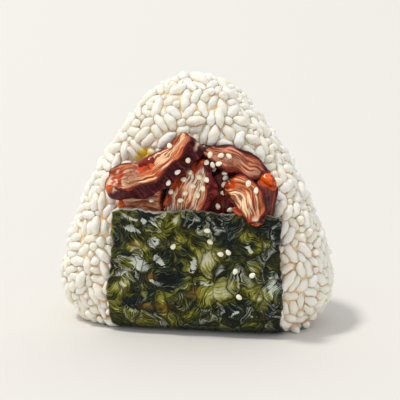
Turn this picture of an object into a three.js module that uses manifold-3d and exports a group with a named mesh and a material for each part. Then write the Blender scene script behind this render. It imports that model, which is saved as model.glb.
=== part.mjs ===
// An onigiri: a pressed triangle of rice that stands on its flat side, in a strip of nori that runs up
// the front, under the base and up the back. Seven glazed meat slices are tucked into the pocket between
// rice and nori, with sesame seeds scattered over them.
// Millimetres, +Z up. The front faces -Y, and the origin is the middle of the flat underside.
import * as THREE from "three";
import { mergeVertices } from "three/addons/utils/BufferGeometryUtils.js";
import Module from "manifold-3d";

const wasm = await Module();
wasm.setup();

// ---- Small tools ----------------------------------------------------------------------------------

const GAP = 0.35; // air left between neighbouring solids
const GROW = 0.48; // how much a coarse form grows to cut a neighbour, so that its facets leave the gap
const vec = (x, y, z) => new THREE.Vector3(x, y, z);
const mix = THREE.MathUtils.lerp;
const ease = THREE.MathUtils.smoothstep; // ease(value, low, high) rises smoothly from 0 to 1

// A repeatable stream of numbers from 0 to 1.
function dice(seed) {
  let state = seed;
  return () => {
    state = (Math.imul(state, 1664525) + 1013904223) >>> 0;
    return state / 2 ** 32;
  };
}

// Reads a list of values as if it were a smooth line over 0 to 1.
function along(values, t) {
  const at = t * (values.length - 1);
  const i = Math.min(Math.floor(at), values.length - 2);
  return mix(values[i], values[i + 1], ease(at - i, 0, 1));
}

function solid(geometry) {
  const bare = geometry.clone();
  bare.deleteAttribute("normal");
  bare.deleteAttribute("uv");
  const merged = mergeVertices(bare, 1e-4);
  return new wasm.Manifold(
    new wasm.Mesh({
      numProp: 3,
      vertProperties: new Float32Array(merged.attributes.position.array),
      triVerts: new Uint32Array(merged.index.array),
    }),
  );
}

function geometryOf(manifold) {
  const mesh = manifold.getMesh();
  const geometry = new THREE.BufferGeometry();
  geometry.setAttribute("position", new THREE.BufferAttribute(mesh.vertProperties, 3));
  geometry.setIndex(new THREE.BufferAttribute(mesh.triVerts, 1));
  geometry.computeVertexNormals();
  return geometry;
}

// Cutting can leave crumbs beside the piece: only the largest body is kept.
function largest(manifold) {
  const bodies = manifold.decompose();
  return bodies.reduce((best, body) => (body.volume() > best.volume() ? body : best));
}

// ---- The rice ball's form -------------------------------------------------------------------------
// Seen from the front it is a rounded triangle of tangent arcs: a top arc, two long side arcs and two
// corner arcs. From the side it is a pillow with a flat foot, and its front has a shallow hollow.

const NORI_THICK = 0.5;
const NORI_LIFT = 0.1; // the sheet's inner face over the rice's outer form
const RICE = {
  height: 80.5,
  depth: 42,
  topRadius: 20.5,
  sideRadius: 120,
  cornerRadius: 16.5,
  cornerX: 28.2, // sideways place of a corner arc's centre
  middleZ: 33, // the point that the form is measured from
  footZ: NORI_THICK + NORI_LIFT, // the rice's foot stands on the nori
  footDrop: 2, // how far the unpressed form would reach below the foot
  footEase: 1.6, // softness of the foot's rim
  faceBend: 4.6, // higher is a flatter face with a tighter rim
  footBend: 8,
  depthBend: 2.4,
};
const HOLLOW = { x: 2, z: 40.5, halfWidth: 30, halfHeight: 20.5, depth: 4.6 };

// The side arc touches the top arc and the corner arc from inside, which fixes its centre.
const topCentre = { x: 0, z: RICE.height - RICE.topRadius };
const cornerCentre = { x: RICE.cornerX, z: RICE.footZ - RICE.footDrop + RICE.cornerRadius };
const sideCentre = (() => {
  const dx = cornerCentre.x - topCentre.x;
  const dz = cornerCentre.z - topCentre.z;
  const apart = Math.hypot(dx, dz);
  const toTop = RICE.sideRadius - RICE.topRadius;
  const toCorner = RICE.sideRadius - RICE.cornerRadius;
  const a = (toTop ** 2 - toCorner ** 2 + apart ** 2) / (2 * apart);
  const h = Math.sqrt(toTop ** 2 - a ** 2);
  return {
    x: topCentre.x + (a * dx + h * dz) / apart,
    z: topCentre.z + (a * dz - h * dx) / apart,
  };
})();

// Angle, seen from the form's middle, at which a centre's arc hands over to the next one.
function handover(centre, next) {
  const away = Math.hypot(next.x - centre.x, next.z - centre.z);
  const x = next.x + ((next.x - centre.x) / away) * next.radius;
  const z = next.z + ((next.z - centre.z) / away) * next.radius;
  return Math.atan2(z - RICE.middleZ, x);
}
const topEnds = handover(sideCentre, { ...topCentre, radius: RICE.topRadius });
const sideEnds = handover(sideCentre, { ...cornerCentre, radius: RICE.cornerRadius });
const cornerEnds = Math.atan2(cornerCentre.z - RICE.cornerRadius - RICE.middleZ, cornerCentre.x);

// Distance from the middle to the front outline, towards the unit direction (dx, dz).
function reach(dx, dz) {
  const angle = Math.atan2(dz, Math.abs(dx));
  if (angle < cornerEnds) return (cornerCentre.z - RICE.cornerRadius - RICE.middleZ) / dz;
  const [centre, radius] =
    angle > topEnds
      ? [topCentre, RICE.topRadius]
      : angle > sideEnds
        ? [sideCentre, RICE.sideRadius]
        : [cornerCentre, RICE.cornerRadius];
  const cx = centre.x;
  const cz = centre.z - RICE.middleZ;
  const towards = Math.abs(dx) * cx + dz * cz;
  return towards + Math.sqrt(towards ** 2 - cx ** 2 - cz ** 2 + radius ** 2);
}

function hollow(x, z) {
  const across = Math.abs(x - HOLLOW.x) / HOLLOW.halfWidth;
  const up = Math.abs(z - HOLLOW.z) / HOLLOW.halfHeight;
  return HOLLOW.depth * (1 - ease(across, 0.5, 1)) * (1 - ease(up, 0.4, 1));
}

// Under 1 inside the rice ball, over 1 outside. The foot is the soft form pressed flat at footZ.
// dent is the share of the front's hollow that is pressed in.
function pillow(x, y, z, dent) {
  const above = z - RICE.footZ;
  if (above < 0) return 2;
  const soft = RICE.footEase;
  const height = above > soft ? z : RICE.footZ + 2 * Math.sqrt(soft * above) - soft;
  const dz = height - RICE.middleZ;
  const away = Math.hypot(x, dz);
  if (away < 1e-6) return Math.abs(y) / (RICE.depth / 2);
  const down = ease(-dz / away, 0.55, 0.95);
  const bend = mix(RICE.faceBend, RICE.footBend, down);
  const pressed = y < 0 ? y - dent * hollow(x, z) : y;
  return (
    (away / reach(x / away, dz / away)) ** bend +
    Math.abs(pressed / (RICE.depth / 2)) ** RICE.depthBend
  );
}

// Where a ray from inside leaves the rice ball, with the outward normal there.
function leave(from, direction, dent) {
  let near = 0;
  let far = RICE.height;
  const p = vec();
  for (let i = 0; i < 40; i++) {
    const t = (near + far) / 2;
    p.copy(direction).multiplyScalar(t).add(from);
    if (pillow(p.x, p.y, p.z, dent) < 1) near = t;
    else far = t;
  }
  p.copy(direction).multiplyScalar(near).add(from);
  const step = 0.05;
  const slope = (x, y, z) =>
    pillow(p.x + x * step, p.y + y * step, p.z + z * step, dent) -
    pillow(p.x - x * step, p.y - y * step, p.z - z * step, dent);
  const normal = vec(slope(1, 0, 0), slope(0, 1, 0), slope(0, 0, 1)).normalize();
  if (p.z < RICE.footZ + 0.02) normal.set(0, 0, -1);
  return { point: p, normal };
}

// ---- The nori strip's place -----------------------------------------------------------------------

const NORI = {
  centreX: 3.4,
  halfWidth: 26,
  frontTop: 40,
  backTop: 38,
  pocket: 2.6, // how far the front's top edge stands off the rice
  pocketDepth: 15, // how far down the pocket reaches
  acrossSteps: 12,
  alongSteps: 28,
};
const NORI_AXIS_Z = 20; // the strip is laid out round this level

// From 0 away from the strip to 1 well inside its footprint, which ends at frontTop on the front.
function underNori(point, frontTop) {
  const side = NORI.halfWidth - Math.abs(point.x - NORI.centreX);
  const top = (point.y < 0 ? frontTop : NORI.backTop) - point.z;
  return ease(side, 1.5, 4) * ease(top, 1.5, 4);
}

// How far the sheet stands off the rice's outer form at (x, z) of its front or back.
function standOff(x, z, front) {
  const u = (x - NORI.centreX) / NORI.halfWidth;
  const free = ease(z, 3, 12); // flat where it is pressed under the foot
  const ripple =
    0.35 * Math.sin(0.42 * x + 0.3 * z) +
    0.3 * Math.sin(0.55 * z - 0.23 * x + 1.3) +
    0.22 * Math.sin(0.7 * x - 0.5 * z + 2.1);
  const top = front ? NORI.frontTop : NORI.backTop;
  const pocket = front ? NORI.pocket : 0.3;
  const open = ease(z, top - NORI.pocketDepth, top) * (1 - 0.85 * u ** 4);
  const curl = 0.35 * Math.sin(0.5 * x + (front ? 0.4 : 2.2)) * open;
  return NORI_LIFT + pocket * open + curl + free * (0.5 + 0.7 * ripple);
}

// A point of the sheet: u across from -1 to 1, v along from 0 at the front's top to 1 at the back's.
function noriPoint(u, v, level, grow) {
  const edgeWave = 0.35 * Math.sin(14 * v) + 0.25 * Math.sin(31 * v + 1) + grow;
  const x = NORI.centreX + u * (NORI.halfWidth + edgeWave);
  const topWave = 0.55 * Math.sin(0.33 * x + 0.5) + 0.3 * Math.sin(0.9 * x) + grow;
  const frontAngle = Math.atan2(NORI.frontTop + topWave - NORI_AXIS_Z, -RICE.depth / 2);
  const backAngle = Math.atan2(NORI.backTop + topWave - NORI_AXIS_Z, RICE.depth / 2);
  const angle = mix(frontAngle, backAngle + 2 * Math.PI, v);
  const direction = vec(0, Math.cos(angle), Math.sin(angle));
  const { point, normal } = leave(vec(x, 0, NORI_AXIS_Z), direction, 0);
  const off = standOff(x, point.z, point.y < 0) + level;
  return point.addScaledVector(normal, off);
}

// ---- Building the closed forms --------------------------------------------------------------------

// A closed grid solid from rows of points: rows run round, and both ends are closed by a fan.
function tubeOf(rings) {
  const sides = rings[0].length;
  const points = rings.flat();
  const middle = (ring) => ring.reduce((sum, p) => sum.add(p), vec(0, 0, 0)).divideScalar(sides);
  const first = points.push(middle(rings[0])) - 1;
  const last = points.push(middle(rings.at(-1))) - 1;
  const faces = [];
  for (let i = 0; i < sides; i++) {
    const next = (i + 1) % sides;
    faces.push(first, next, i);
    faces.push(last, (rings.length - 1) * sides + i, (rings.length - 1) * sides + next);
    for (let r = 0; r < rings.length - 1; r++) {
      const a = r * sides;
      const b = a + sides;
      faces.push(a + i, a + next, b + next, a + i, b + next, b + i);
    }
  }
  return closed(points, faces);
}

function closed(points, faces) {
  const geometry = new THREE.BufferGeometry().setFromPoints(points);
  geometry.setIndex(faces);
  const made = solid(geometry);
  if (made.volume() > 0) return made;
  for (let i = 0; i < faces.length; i += 3) [faces[i], faces[i + 1]] = [faces[i + 1], faces[i]];
  return solid(geometry.setIndex(faces));
}

// A thin sheet over the rice, with both faces split alike.
function sheetSolid(grow) {
  const { acrossSteps, alongSteps } = NORI;
  const row = acrossSteps + 1;
  const count = row * (alongSteps + 1);
  const points = [];
  for (const level of [-grow, NORI_THICK + grow])
    for (let j = 0; j <= alongSteps; j++)
      for (let i = 0; i <= acrossSteps; i++)
        points.push(noriPoint((2 * i) / acrossSteps - 1, j / alongSteps, level, grow));
  const faces = [];
  for (let j = 0; j < alongSteps; j++)
    for (let i = 0; i < acrossSteps; i++) {
      const a = j * row + i;
      const [b, c, d] = [a + 1, a + row + 1, a + row];
      faces.push(a, b, c, a, c, d);
      faces.push(count + a, count + c, count + b, count + a, count + d, count + c);
    }
  const rim = [];
  for (let i = 0; i < acrossSteps; i++) rim.push(i);
  for (let j = 0; j < alongSteps; j++) rim.push(j * row + acrossSteps);
  for (let i = acrossSteps; i > 0; i--) rim.push(alongSteps * row + i);
  for (let j = alongSteps; j > 0; j--) rim.push(j * row);
  rim.forEach((a, k) => {
    const b = rim[(k + 1) % rim.length];
    faces.push(b, a, count + a, b, count + a, count + b);
  });
  return closed(points, faces);
}

// The rice without its grains: the outer form taken in, less where it backs the nori below the pocket.
const PROUD = 1.5; // how far a grain stands out of the core
const CORE_DETAIL = 8;
function coreSolid(grow) {
  const ball = mergeVertices(bareIcosahedron(CORE_DETAIL), 1e-4);
  const place = ball.attributes.position;
  const middle = vec(0, 0, RICE.middleZ);
  for (let i = 0; i < place.count; i++) {
    const direction = vec().fromBufferAttribute(place, i).normalize();
    const { point, normal } = leave(middle, direction, 1);
    const backing = underNori(point, NORI.frontTop - NORI.pocketDepth);
    const inset = mix(PROUD, 2 * GAP - NORI_LIFT, backing);
    point.addScaledVector(normal, grow - inset);
    place.setXYZ(i, point.x, point.y, point.z);
  }
  return solid(ball);
}

function bareIcosahedron(detail) {
  const geometry = new THREE.IcosahedronGeometry(1, detail);
  geometry.deleteAttribute("normal");
  geometry.deleteAttribute("uv");
  return geometry;
}

// ---- Meat slices ----------------------------------------------------------------------------------
// Each is a slab cut from a roast, swept along a bent line. face is the way its broad cut side looks.
// They are listed from the front of the pile to its back.

const SLICES = {
  meat_slab_left: {
    path: [
      [-22.8, -22.4, 47.4],
      [-16.5, -23.7, 48.3],
      [-9.8, -24.7, 50],
      [-3.2, -24.8, 54.2],
      [4, -23.4, 60.9],
    ],
    width: [8.4, 10, 9.6, 8.8, 8],
    thick: [5.4, 6.4, 6.2, 5.8, 6],
    face: [
      [-0.2, -0.64, 0.76],
      [-0.3, -0.62, 0.76],
      [-0.76, -0.52, 0.46],
    ],
    colour: 0x8a3f2c,
  },
  meat_slice_right_front: {
    path: [
      [13.6, -22.6, 46.8],
      [18, -25.2, 46.8],
      [21.4, -27, 43],
      [22.2, -27.8, 37],
    ],
    width: [4.6, 8.6, 9.6, 4.4],
    thick: [4.4, 5, 4.8, 3.8],
    face: [
      [-0.25, -0.85, 0.45],
      [-0.1, -0.9, 0.35],
      [-0.2, -0.97, 0.05],
    ],
    colour: 0xb8502e,
  },
  meat_wedge_centre: {
    path: [
      [-1.6, -18, 33.5],
      [0.2, -19.4, 40],
      [3, -21.2, 46.5],
      [6.4, -20.6, 54.4],
    ],
    width: [13, 13.6, 13.2, 4.6],
    thick: [4.2, 5.4, 6.2, 4.4],
    face: [
      [-0.04, -0.97, 0.2],
      [-0.16, -0.95, 0.26],
      [-0.36, -0.88, 0.3],
    ],
    colour: 0xa8492f,
  },
  meat_slice_right_upper: {
    path: [
      [4, -18.4, 57.2],
      [9, -19.6, 56.2],
      [14.8, -20.2, 54.7],
      [20, -19.6, 52.2],
      [24.6, -18.4, 49.6],
    ],
    width: [4.2, 6, 8.2, 7.4, 4],
    thick: [4, 5, 5.4, 5, 3.8],
    face: [
      [0, -0.9, 0.4],
      [0.15, -0.9, 0.35],
    ],
    colour: 0x96503c,
  },
  meat_chunk_right_back: {
    path: [
      [22.8, -18.4, 49.2],
      [24.2, -19.4, 46],
      [23.8, -18.8, 41],
      [22.6, -17.3, 35.5],
    ],
    width: [5.4, 6.8, 6.6, 5.6],
    thick: [5, 6, 5, 3.4],
    face: [
      [0.3, -0.94, 0.2],
      [0.2, -0.97, 0.1],
    ],
    colour: 0xa63420,
  },
  meat_chunk_left_low: {
    path: [
      [-20, -18.6, 40.6],
      [-14.5, -18.9, 41.2],
      [-6.6, -18.4, 41.4],
    ],
    width: [8, 10.4, 10.6],
    thick: [4.8, 5.4, 5],
    face: [
      [-0.1, -0.97, 0.2],
      [0.1, -0.97, 0.2],
    ],
    colour: 0xb5532f,
  },
  meat_chunk_centre_low: {
    path: [
      [10, -18.2, 34.5],
      [11.4, -18.8, 40],
      [12.6, -18.6, 46.5],
      [10.6, -18, 51.4],
    ],
    width: [12, 13, 10, 6],
    thick: [4.4, 5.4, 5, 4],
    face: [
      [0, -0.97, 0.2],
      [0, -0.95, 0.3],
    ],
    colour: 0x6a221c,
  },
};
const SLICE_STEPS = 5; // stretches between the two bevelled ends
const SLICE_BEVEL = 1.1; // width of the bevel along a slice's edges

// Corner points of a bevelled rectangle, as [across, up] pairs round it.
function section(halfWide, halfThick, bevel) {
  const [w, h] = [halfWide - bevel, halfThick - bevel];
  return [
    [halfWide, h],
    [w, halfThick],
    [-w, halfThick],
    [-halfWide, h],
    [-halfWide, -h],
    [-w, -halfThick],
    [w, -halfThick],
    [halfWide, -h],
  ];
}

// The meat's faces are torn and uneven, so each point is shifted a little by where it is.
function uneven(point) {
  const { x, y, z } = point;
  point.x += 0.3 * Math.sin(0.9 * y + 0.7 * z);
  point.y += 0.35 * Math.sin(0.8 * x - 0.6 * z + 1);
  point.z += 0.35 * Math.sin(0.75 * x + 0.8 * y + 2);
  return point;
}

function sliceSolid({ path, width, thick, face }, grow) {
  const line = new THREE.CatmullRomCurve3(path.map((p) => vec(...p)));
  const reachIn = SLICE_BEVEL / line.getLength();
  // Each section is [place along the line, distance past it, how far the section is taken in].
  const sections = [[0, -grow, SLICE_BEVEL]];
  for (let i = 0; i <= SLICE_STEPS; i++) sections.push([mix(reachIn, 1 - reachIn, i / SLICE_STEPS), 0, 0]);
  sections.push([1, grow, SLICE_BEVEL]);
  const rings = sections.map(([t, past, inset]) => {
    const tangent = line.getTangentAt(t);
    const centre = line.getPointAt(t).addScaledVector(tangent, past);
    const out = vec(...[0, 1, 2].map((k) => along(face.map((f) => f[k]), t)));
    out.addScaledVector(tangent, -out.dot(tangent)).normalize();
    const side = tangent.clone().cross(out);
    const halfWide = along(width, t) / 2 + grow - inset;
    const halfThick = along(thick, t) / 2 + grow - inset;
    return section(halfWide, halfThick, SLICE_BEVEL * 0.6).map(([across, up]) =>
      uneven(centre.clone().addScaledVector(side, across).addScaledVector(out, up)),
    );
  });
  return tubeOf(rings);
}

// ---- Assembly: each solid is fitted to the ones in front of it ------------------------------------

const nori = sheetSolid(0);
const core = coreSolid(0);
const roundCore = coreSolid(GROW);
const roundNori = sheetSolid(GROW);

const meats = {};
let keepOut = roundNori.add(roundCore);
for (const [name, slice] of Object.entries(SLICES)) {
  meats[name] = largest(sliceSolid(slice, 0).subtract(keepOut));
  keepOut = keepOut.add(sliceSolid(slice, GROW));
}
const roundMeats = Object.values(SLICES).map((slice) => sliceSolid(slice, GAP));

// ---- Sesame seeds, fused to what they lie on ------------------------------------------------------
// They lie in short lines over the front: [x, z] of the first seed, [x, z] of the last, and how many.

const SEED = { length: 2.4, width: 1.8, thick: 1.4, sides: 4, rise: 0.3, stray: 0.3 };
const SEED_LINES = [
  [-3.4, 59.2, -3.4, 59.2, 1],
  [2.5, 55.5, -3.5, 48.8, 3],
  [2.6, 51.4, 0.5, 49.2, 2],
  [0.8, 45.6, -0.7, 42.9, 2],
  [-3.4, 45.5, -3.4, 45.5, 1],
  [5.6, 50.2, 3.2, 47.5, 2],
  [5.3, 44.8, 5.3, 44.8, 1],
  [7.1, 47.2, 8.6, 51.8, 3],
  [7.2, 54.2, 11, 53.9, 3],
  [12.4, 51.8, 12.4, 45.4, 4],
  [8.4, 56.6, 14.2, 56.4, 3],
  [20.4, 49.2, 22.6, 47.4, 2],
  [10.8, 41.1, 14.2, 40, 2],
  [-10.1, 41.9, -10.1, 41.9, 1],
  [-3.1, 28.9, -3.1, 28.9, 1],
  [7.6, 34.1, 8.2, 30.5, 2],
  [11.6, 27, 14, 27.6, 2],
  [16.1, 21.6, 17.1, 13.6, 2],
  [21, 20.6, 21, 20.6, 1],
];

// A drop-shaped seed lying along X.
function seedGeometry(grow) {
  const profile = [
    new THREE.Vector2(0, -SEED.length / 2 - grow),
    new THREE.Vector2(SEED.width / 2 + grow, -SEED.length * 0.12),
    new THREE.Vector2(SEED.width * 0.32 + grow, SEED.length * 0.3),
    new THREE.Vector2(0, SEED.length / 2 + grow),
  ];
  return new THREE.LatheGeometry(profile, SEED.sides)
    .rotateZ(Math.PI / 2)
    .scale(1, 1, SEED.thick / SEED.width);
}

function seedSpots() {
  const roll = dice(11);
  const stray = () => SEED.stray * (2 * roll() - 1);
  const spots = [];
  for (const [fromX, fromZ, toX, toZ, count] of SEED_LINES) {
    for (let i = 0; i < count; i++) {
      const t = count > 1 ? i / (count - 1) : 0;
      spots.push({
        x: mix(fromX, toX, t) + stray(),
        z: mix(fromZ, toZ, t) + stray(),
        turn: 2 * Math.PI * roll(),
      });
    }
  }
  return spots;
}

// A manifold's matrix that lays a piece along the surface at a point, turned about the normal.
function laid(point, normal, turn, tilt, size) {
  const turned = new THREE.Quaternion()
    .setFromUnitVectors(vec(0, 0, 1), normal)
    .multiply(new THREE.Quaternion().setFromAxisAngle(vec(0, 0, 1), turn))
    .multiply(new THREE.Quaternion().setFromAxisAngle(vec(0, 1, 0), tilt));
  return new THREE.Matrix4().compose(point, turned, vec(size, size, size)).elements;
}

const carriers = { nori_strip: nori, ...meats };
const targets = Object.entries({ ...carriers, core }).map(([name, manifold]) => {
  const mesh = new THREE.Mesh(geometryOf(manifold));
  mesh.name = name;
  return mesh;
});
const seed = solid(seedGeometry(0));
const roundSeed = solid(seedGeometry(GAP));
const seedsOn = Object.fromEntries(Object.keys(carriers).map((name) => [name, []]));
const roundSeeds = [];
for (const { x, z, turn } of seedSpots()) {
  const ray = new THREE.Raycaster(vec(x, -RICE.depth, z), vec(0, 1, 0));
  const [hit] = ray.intersectObjects(targets);
  if (hit.object.name === "core") continue;
  const place = laid(hit.point.addScaledVector(hit.face.normal, SEED.rise), hit.face.normal, turn, 0, 1);
  const around = roundSeed.transform(place);
  const others = targets.filter((target) => target !== hit.object);
  const clear = others.every(({ name }) => around.intersect(carriers[name] ?? core).isEmpty());
  if (!clear) continue;
  seedsOn[hit.object.name].push(seed.transform(place));
  roundSeeds.push(around);
}
for (const [name, seeds] of Object.entries(seedsOn))
  carriers[name] = wasm.Manifold.union([carriers[name], ...seeds]);

// ---- Rice grains ----------------------------------------------------------------------------------

const GRAIN = { length: 7.2, width: 3.3, thick: 2.8, spacing: 7, tilt: 0.25, sides: 5 };
const TRIES = 9000;

// A plump grain along X, blunt at one end.
function grainGeometry() {
  const [half, wide] = [GRAIN.length / 2, GRAIN.width / 2];
  const profile = [
    new THREE.Vector2(0, -half),
    new THREE.Vector2(wide * 0.86, -half * 0.52),
    new THREE.Vector2(wide * 0.94, half * 0.42),
    new THREE.Vector2(0, half),
  ];
  return new THREE.LatheGeometry(profile, GRAIN.sides)
    .rotateZ(Math.PI / 2)
    .scale(1, 1, GRAIN.thick / GRAIN.width);
}

function grains() {
  const roll = dice(7);
  const toppings = wasm.Manifold.union([roundNori, ...roundMeats, ...roundSeeds]);
  const middle = vec(0, 0, RICE.middleZ);
  const grain = solid(grainGeometry());
  const centres = [];
  const made = [];
  for (let i = 0; i < TRIES; i++) {
    const direction = vec().setFromSphericalCoords(1, Math.acos(1 - 2 * roll()), 2 * Math.PI * roll());
    const turn = 2 * Math.PI * roll();
    const tilt = GRAIN.tilt * (2 * roll() - 1);
    const size = mix(0.88, 1.08, roll());
    const { point, normal } = leave(middle, direction, 1);
    if (centres.some((c) => c.distanceTo(point) < GRAIN.spacing)) continue;
    if (underNori(point, NORI.frontTop) > 0) continue;
    const centre = point.clone().addScaledVector(normal, -GRAIN.thick / 2);
    let piece = grain.transform(laid(centre, normal, turn, tilt, size));
    const low = piece.boundingBox().min[2];
    if (low < 0) piece = piece.translate([0, 0, -low]);
    if (!piece.intersect(toppings).isEmpty()) continue;
    centres.push(point);
    made.push(piece);
  }
  return made;
}

const riceGrains = grains();
const rice = largest(wasm.Manifold.union([core, ...riceGrains]));

// ---- Parts ----------------------------------------------------------------------------------------

function part(name, manifold, colour, roughness) {
  const material = new THREE.MeshStandardMaterial({ color: colour, roughness, metalness: 0 });
  const mesh = new THREE.Mesh(geometryOf(manifold), material);
  mesh.name = name;
  return mesh;
}

const onigiri = new THREE.Group();
onigiri.add(part("rice_ball", rice, 0xf1ede0, 0.45));
onigiri.add(part("nori_strip", carriers.nori_strip, 0x2c3320, 0.5));
for (const [name, { colour }] of Object.entries(SLICES))
  onigiri.add(part(name, carriers[name], colour, 0.3));

export default onigiri;
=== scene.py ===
import math
import bmesh
import bpy
import numpy as np
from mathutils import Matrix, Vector, noise
from mathutils.bvhtree import BVHTree
from mathutils.kdtree import KDTree


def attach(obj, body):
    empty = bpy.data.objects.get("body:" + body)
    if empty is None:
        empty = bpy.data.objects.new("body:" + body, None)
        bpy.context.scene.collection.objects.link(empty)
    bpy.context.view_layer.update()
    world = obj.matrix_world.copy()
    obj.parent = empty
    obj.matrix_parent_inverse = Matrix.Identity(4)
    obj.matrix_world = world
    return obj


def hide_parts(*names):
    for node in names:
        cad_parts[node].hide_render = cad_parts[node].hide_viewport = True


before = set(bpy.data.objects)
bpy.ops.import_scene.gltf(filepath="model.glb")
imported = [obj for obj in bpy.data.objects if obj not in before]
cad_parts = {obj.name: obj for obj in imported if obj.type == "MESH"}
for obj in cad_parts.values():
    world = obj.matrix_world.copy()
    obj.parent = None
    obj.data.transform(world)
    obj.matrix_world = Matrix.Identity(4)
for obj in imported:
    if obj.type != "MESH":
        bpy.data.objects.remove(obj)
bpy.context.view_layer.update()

# ---- Studio ---------------------------------------------------------------------------------------
# A sheet of pale card that curves up behind the food, one soft lamp high at the left, an even light from
# the room, and a camera just above the table, turned ten degrees to the right.

CAMERA_TURN = math.radians(10)
CAMERA_RISE = math.radians(9)
CAMERA_AWAY = 0.280
LENS_WIDTHS = 2.15  # focal length in picture widths
CAMERA_AROUND = (0, 0, 0.038)
CAMERA_LOOKS_AT = (0.0013, 0.0002, 0.0396)
CARD_SHADE = (0.755, 0.738, 0.695)
CARD_FRONT = -1.5
CARD_HALF_WIDTH = 3.0
CARD_BEND_STARTS, CARD_BEND_RADIUS = 0.15, 1.2
CARD_SLOPE, CARD_SLOPE_LENGTH = math.radians(38), 3
CARD_STEPS = 24
LAMP_PLACE = (-1.25, -0.75, 3.2)
LAMP_AIMS_AT = (0, 0, 0.03)
LAMP_SIZE = 0.5
LAMP_WATTS = 65
LAMP_SHADE = (1.0, 0.97, 0.92)
ROOM_SHADE = (0.95, 0.96, 1.0, 1)
ROOM_STRENGTH = 0.75


def soft_lamp():
    data = bpy.data.lights.new("window", "AREA")
    data.shape = "DISK"
    data.size = LAMP_SIZE
    data.energy = LAMP_WATTS
    data.color = LAMP_SHADE
    lamp = bpy.data.objects.new("window", data)
    lamp.location = LAMP_PLACE
    lamp.rotation_euler = (Vector(LAMP_AIMS_AT) - lamp.location).to_track_quat("-Z", "Y").to_euler()
    bpy.context.collection.objects.link(lamp)


def curved_backdrop():
    """Flat under the food, then a wide bend into a slope that faces the lamp."""
    profile = [(CARD_FRONT, 0.0)]
    for step in range(CARD_STEPS + 1):
        angle = step / CARD_STEPS * CARD_SLOPE
        profile.append((
            CARD_BEND_STARTS + CARD_BEND_RADIUS * math.sin(angle),
            CARD_BEND_RADIUS * (1 - math.cos(angle)),
        ))
    y, z = profile[-1]
    profile.append((
        y + CARD_SLOPE_LENGTH * math.cos(CARD_SLOPE),
        z + CARD_SLOPE_LENGTH * math.sin(CARD_SLOPE),
    ))
    corners = [(x, y, z) for y, z in profile for x in (-CARD_HALF_WIDTH, CARD_HALF_WIDTH)]
    faces = [(i, i + 1, i + 3, i + 2) for i in range(0, len(corners) - 2, 2)]
    mesh = bpy.data.meshes.new("backdrop")
    mesh.from_pydata(corners, [], faces)
    mesh.shade_smooth()
    card = bpy.data.materials.new("pale_card")
    card.use_nodes = True
    shader = card.node_tree.nodes["Principled BSDF"]
    shader.inputs["Base Color"].default_value = (*CARD_SHADE, 1)
    shader.inputs["Roughness"].default_value = 0.9
    shader.inputs["Specular IOR Level"].default_value = 0.1
    mesh.materials.append(card)
    backdrop = bpy.data.objects.new("backdrop", mesh)
    bpy.context.collection.objects.link(backdrop)


def set_up_camera():
    away = Vector((
        math.sin(CAMERA_TURN) * math.cos(CAMERA_RISE),
        -math.cos(CAMERA_TURN) * math.cos(CAMERA_RISE),
        math.sin(CAMERA_RISE),
    ))
    data = bpy.data.cameras.new("camera")
    data.lens = LENS_WIDTHS * data.sensor_width
    data.clip_start = 0.01
    camera = bpy.data.objects.new("camera", data)
    camera.location = Vector(CAMERA_AROUND) + away * CAMERA_AWAY
    camera.rotation_euler = (Vector(CAMERA_LOOKS_AT) - camera.location).to_track_quat("-Z", "Y").to_euler()
    bpy.context.collection.objects.link(camera)
    bpy.context.scene.camera = camera


world = bpy.data.worlds.new("room_light")
world.use_nodes = True
world.node_tree.nodes["Background"].inputs["Color"].default_value = ROOM_SHADE
world.node_tree.nodes["Background"].inputs["Strength"].default_value = ROOM_STRENGTH
bpy.context.scene.world = world
bpy.context.scene.view_settings.view_transform = "Standard"
soft_lamp()
curved_backdrop()
set_up_camera()

# ---- Rice -----------------------------------------------------------------------------------------
# A ball of short-grain rice, cooked plump and pressed by hand in a triangular mould. The grains stick
# together where they touch, keep small air gaps between them and are a little translucent.
# Shapes are worked out in millimetres and become meshes in metres.

MM = 0.001
FOOT_Z = 0.6  # the rice stands on the nori
RICE_HEIGHT = 80.5
RICE_DEPTH = 42
TOP_RADIUS, SIDE_RADIUS, CORNER_RADIUS = 20.5, 120, 16.5
CORNER_X = 28.2
MIDDLE_Z = 33
FOOT_DROP = 2  # how much the flat foot cuts off the corner arcs
FOOT_EASE = 1.6  # height over which the sides round into the foot
RIM_FULLNESS, FOOT_FULLNESS = 4.6, 3.4  # how square the edge is, and how much squarer at the foot
FRONT_FULLNESS = 2.4  # how square it is from front to back
# The hollow pressed into the front for the filling.
HOLLOW = {"x": 2, "z": 40.5, "half_width": 30, "half_height": 20.5, "depth": 4.6}


def ease(value, low, high):
    t = np.clip((value - low) / (high - low), 0, 1)
    return t * t * (3 - 2 * t)


def unit(vectors):
    return vectors / np.linalg.norm(vectors, axis=1)[:, None]


def outline_arcs():
    """(centre x, centre z, radius) of the top, side and corner arcs of the front outline."""
    top = np.array([0, RICE_HEIGHT - TOP_RADIUS])
    corner = np.array([CORNER_X, FOOT_Z - FOOT_DROP + CORNER_RADIUS])
    between = corner - top
    apart = math.hypot(*between)
    to_top = SIDE_RADIUS - TOP_RADIUS
    to_corner = SIDE_RADIUS - CORNER_RADIUS
    a = (to_top**2 - to_corner**2 + apart**2) / (2 * apart)
    h = math.sqrt(to_top**2 - a**2)
    side = top + (a * between + h * np.array([between[1], -between[0]])) / apart
    return (*top, TOP_RADIUS), (*side, SIDE_RADIUS), (*corner, CORNER_RADIUS)


TOP_ARC, SIDE_ARC, CORNER_ARC = outline_arcs()


def handover(x, z, radius):
    """Angle from the form's middle at which the side arc gives way to another arc."""
    away = math.hypot(x - SIDE_ARC[0], z - SIDE_ARC[1])
    meet_x = x + (x - SIDE_ARC[0]) / away * radius
    meet_z = z + (z - SIDE_ARC[1]) / away * radius
    return math.atan2(meet_z - MIDDLE_Z, meet_x)


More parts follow.
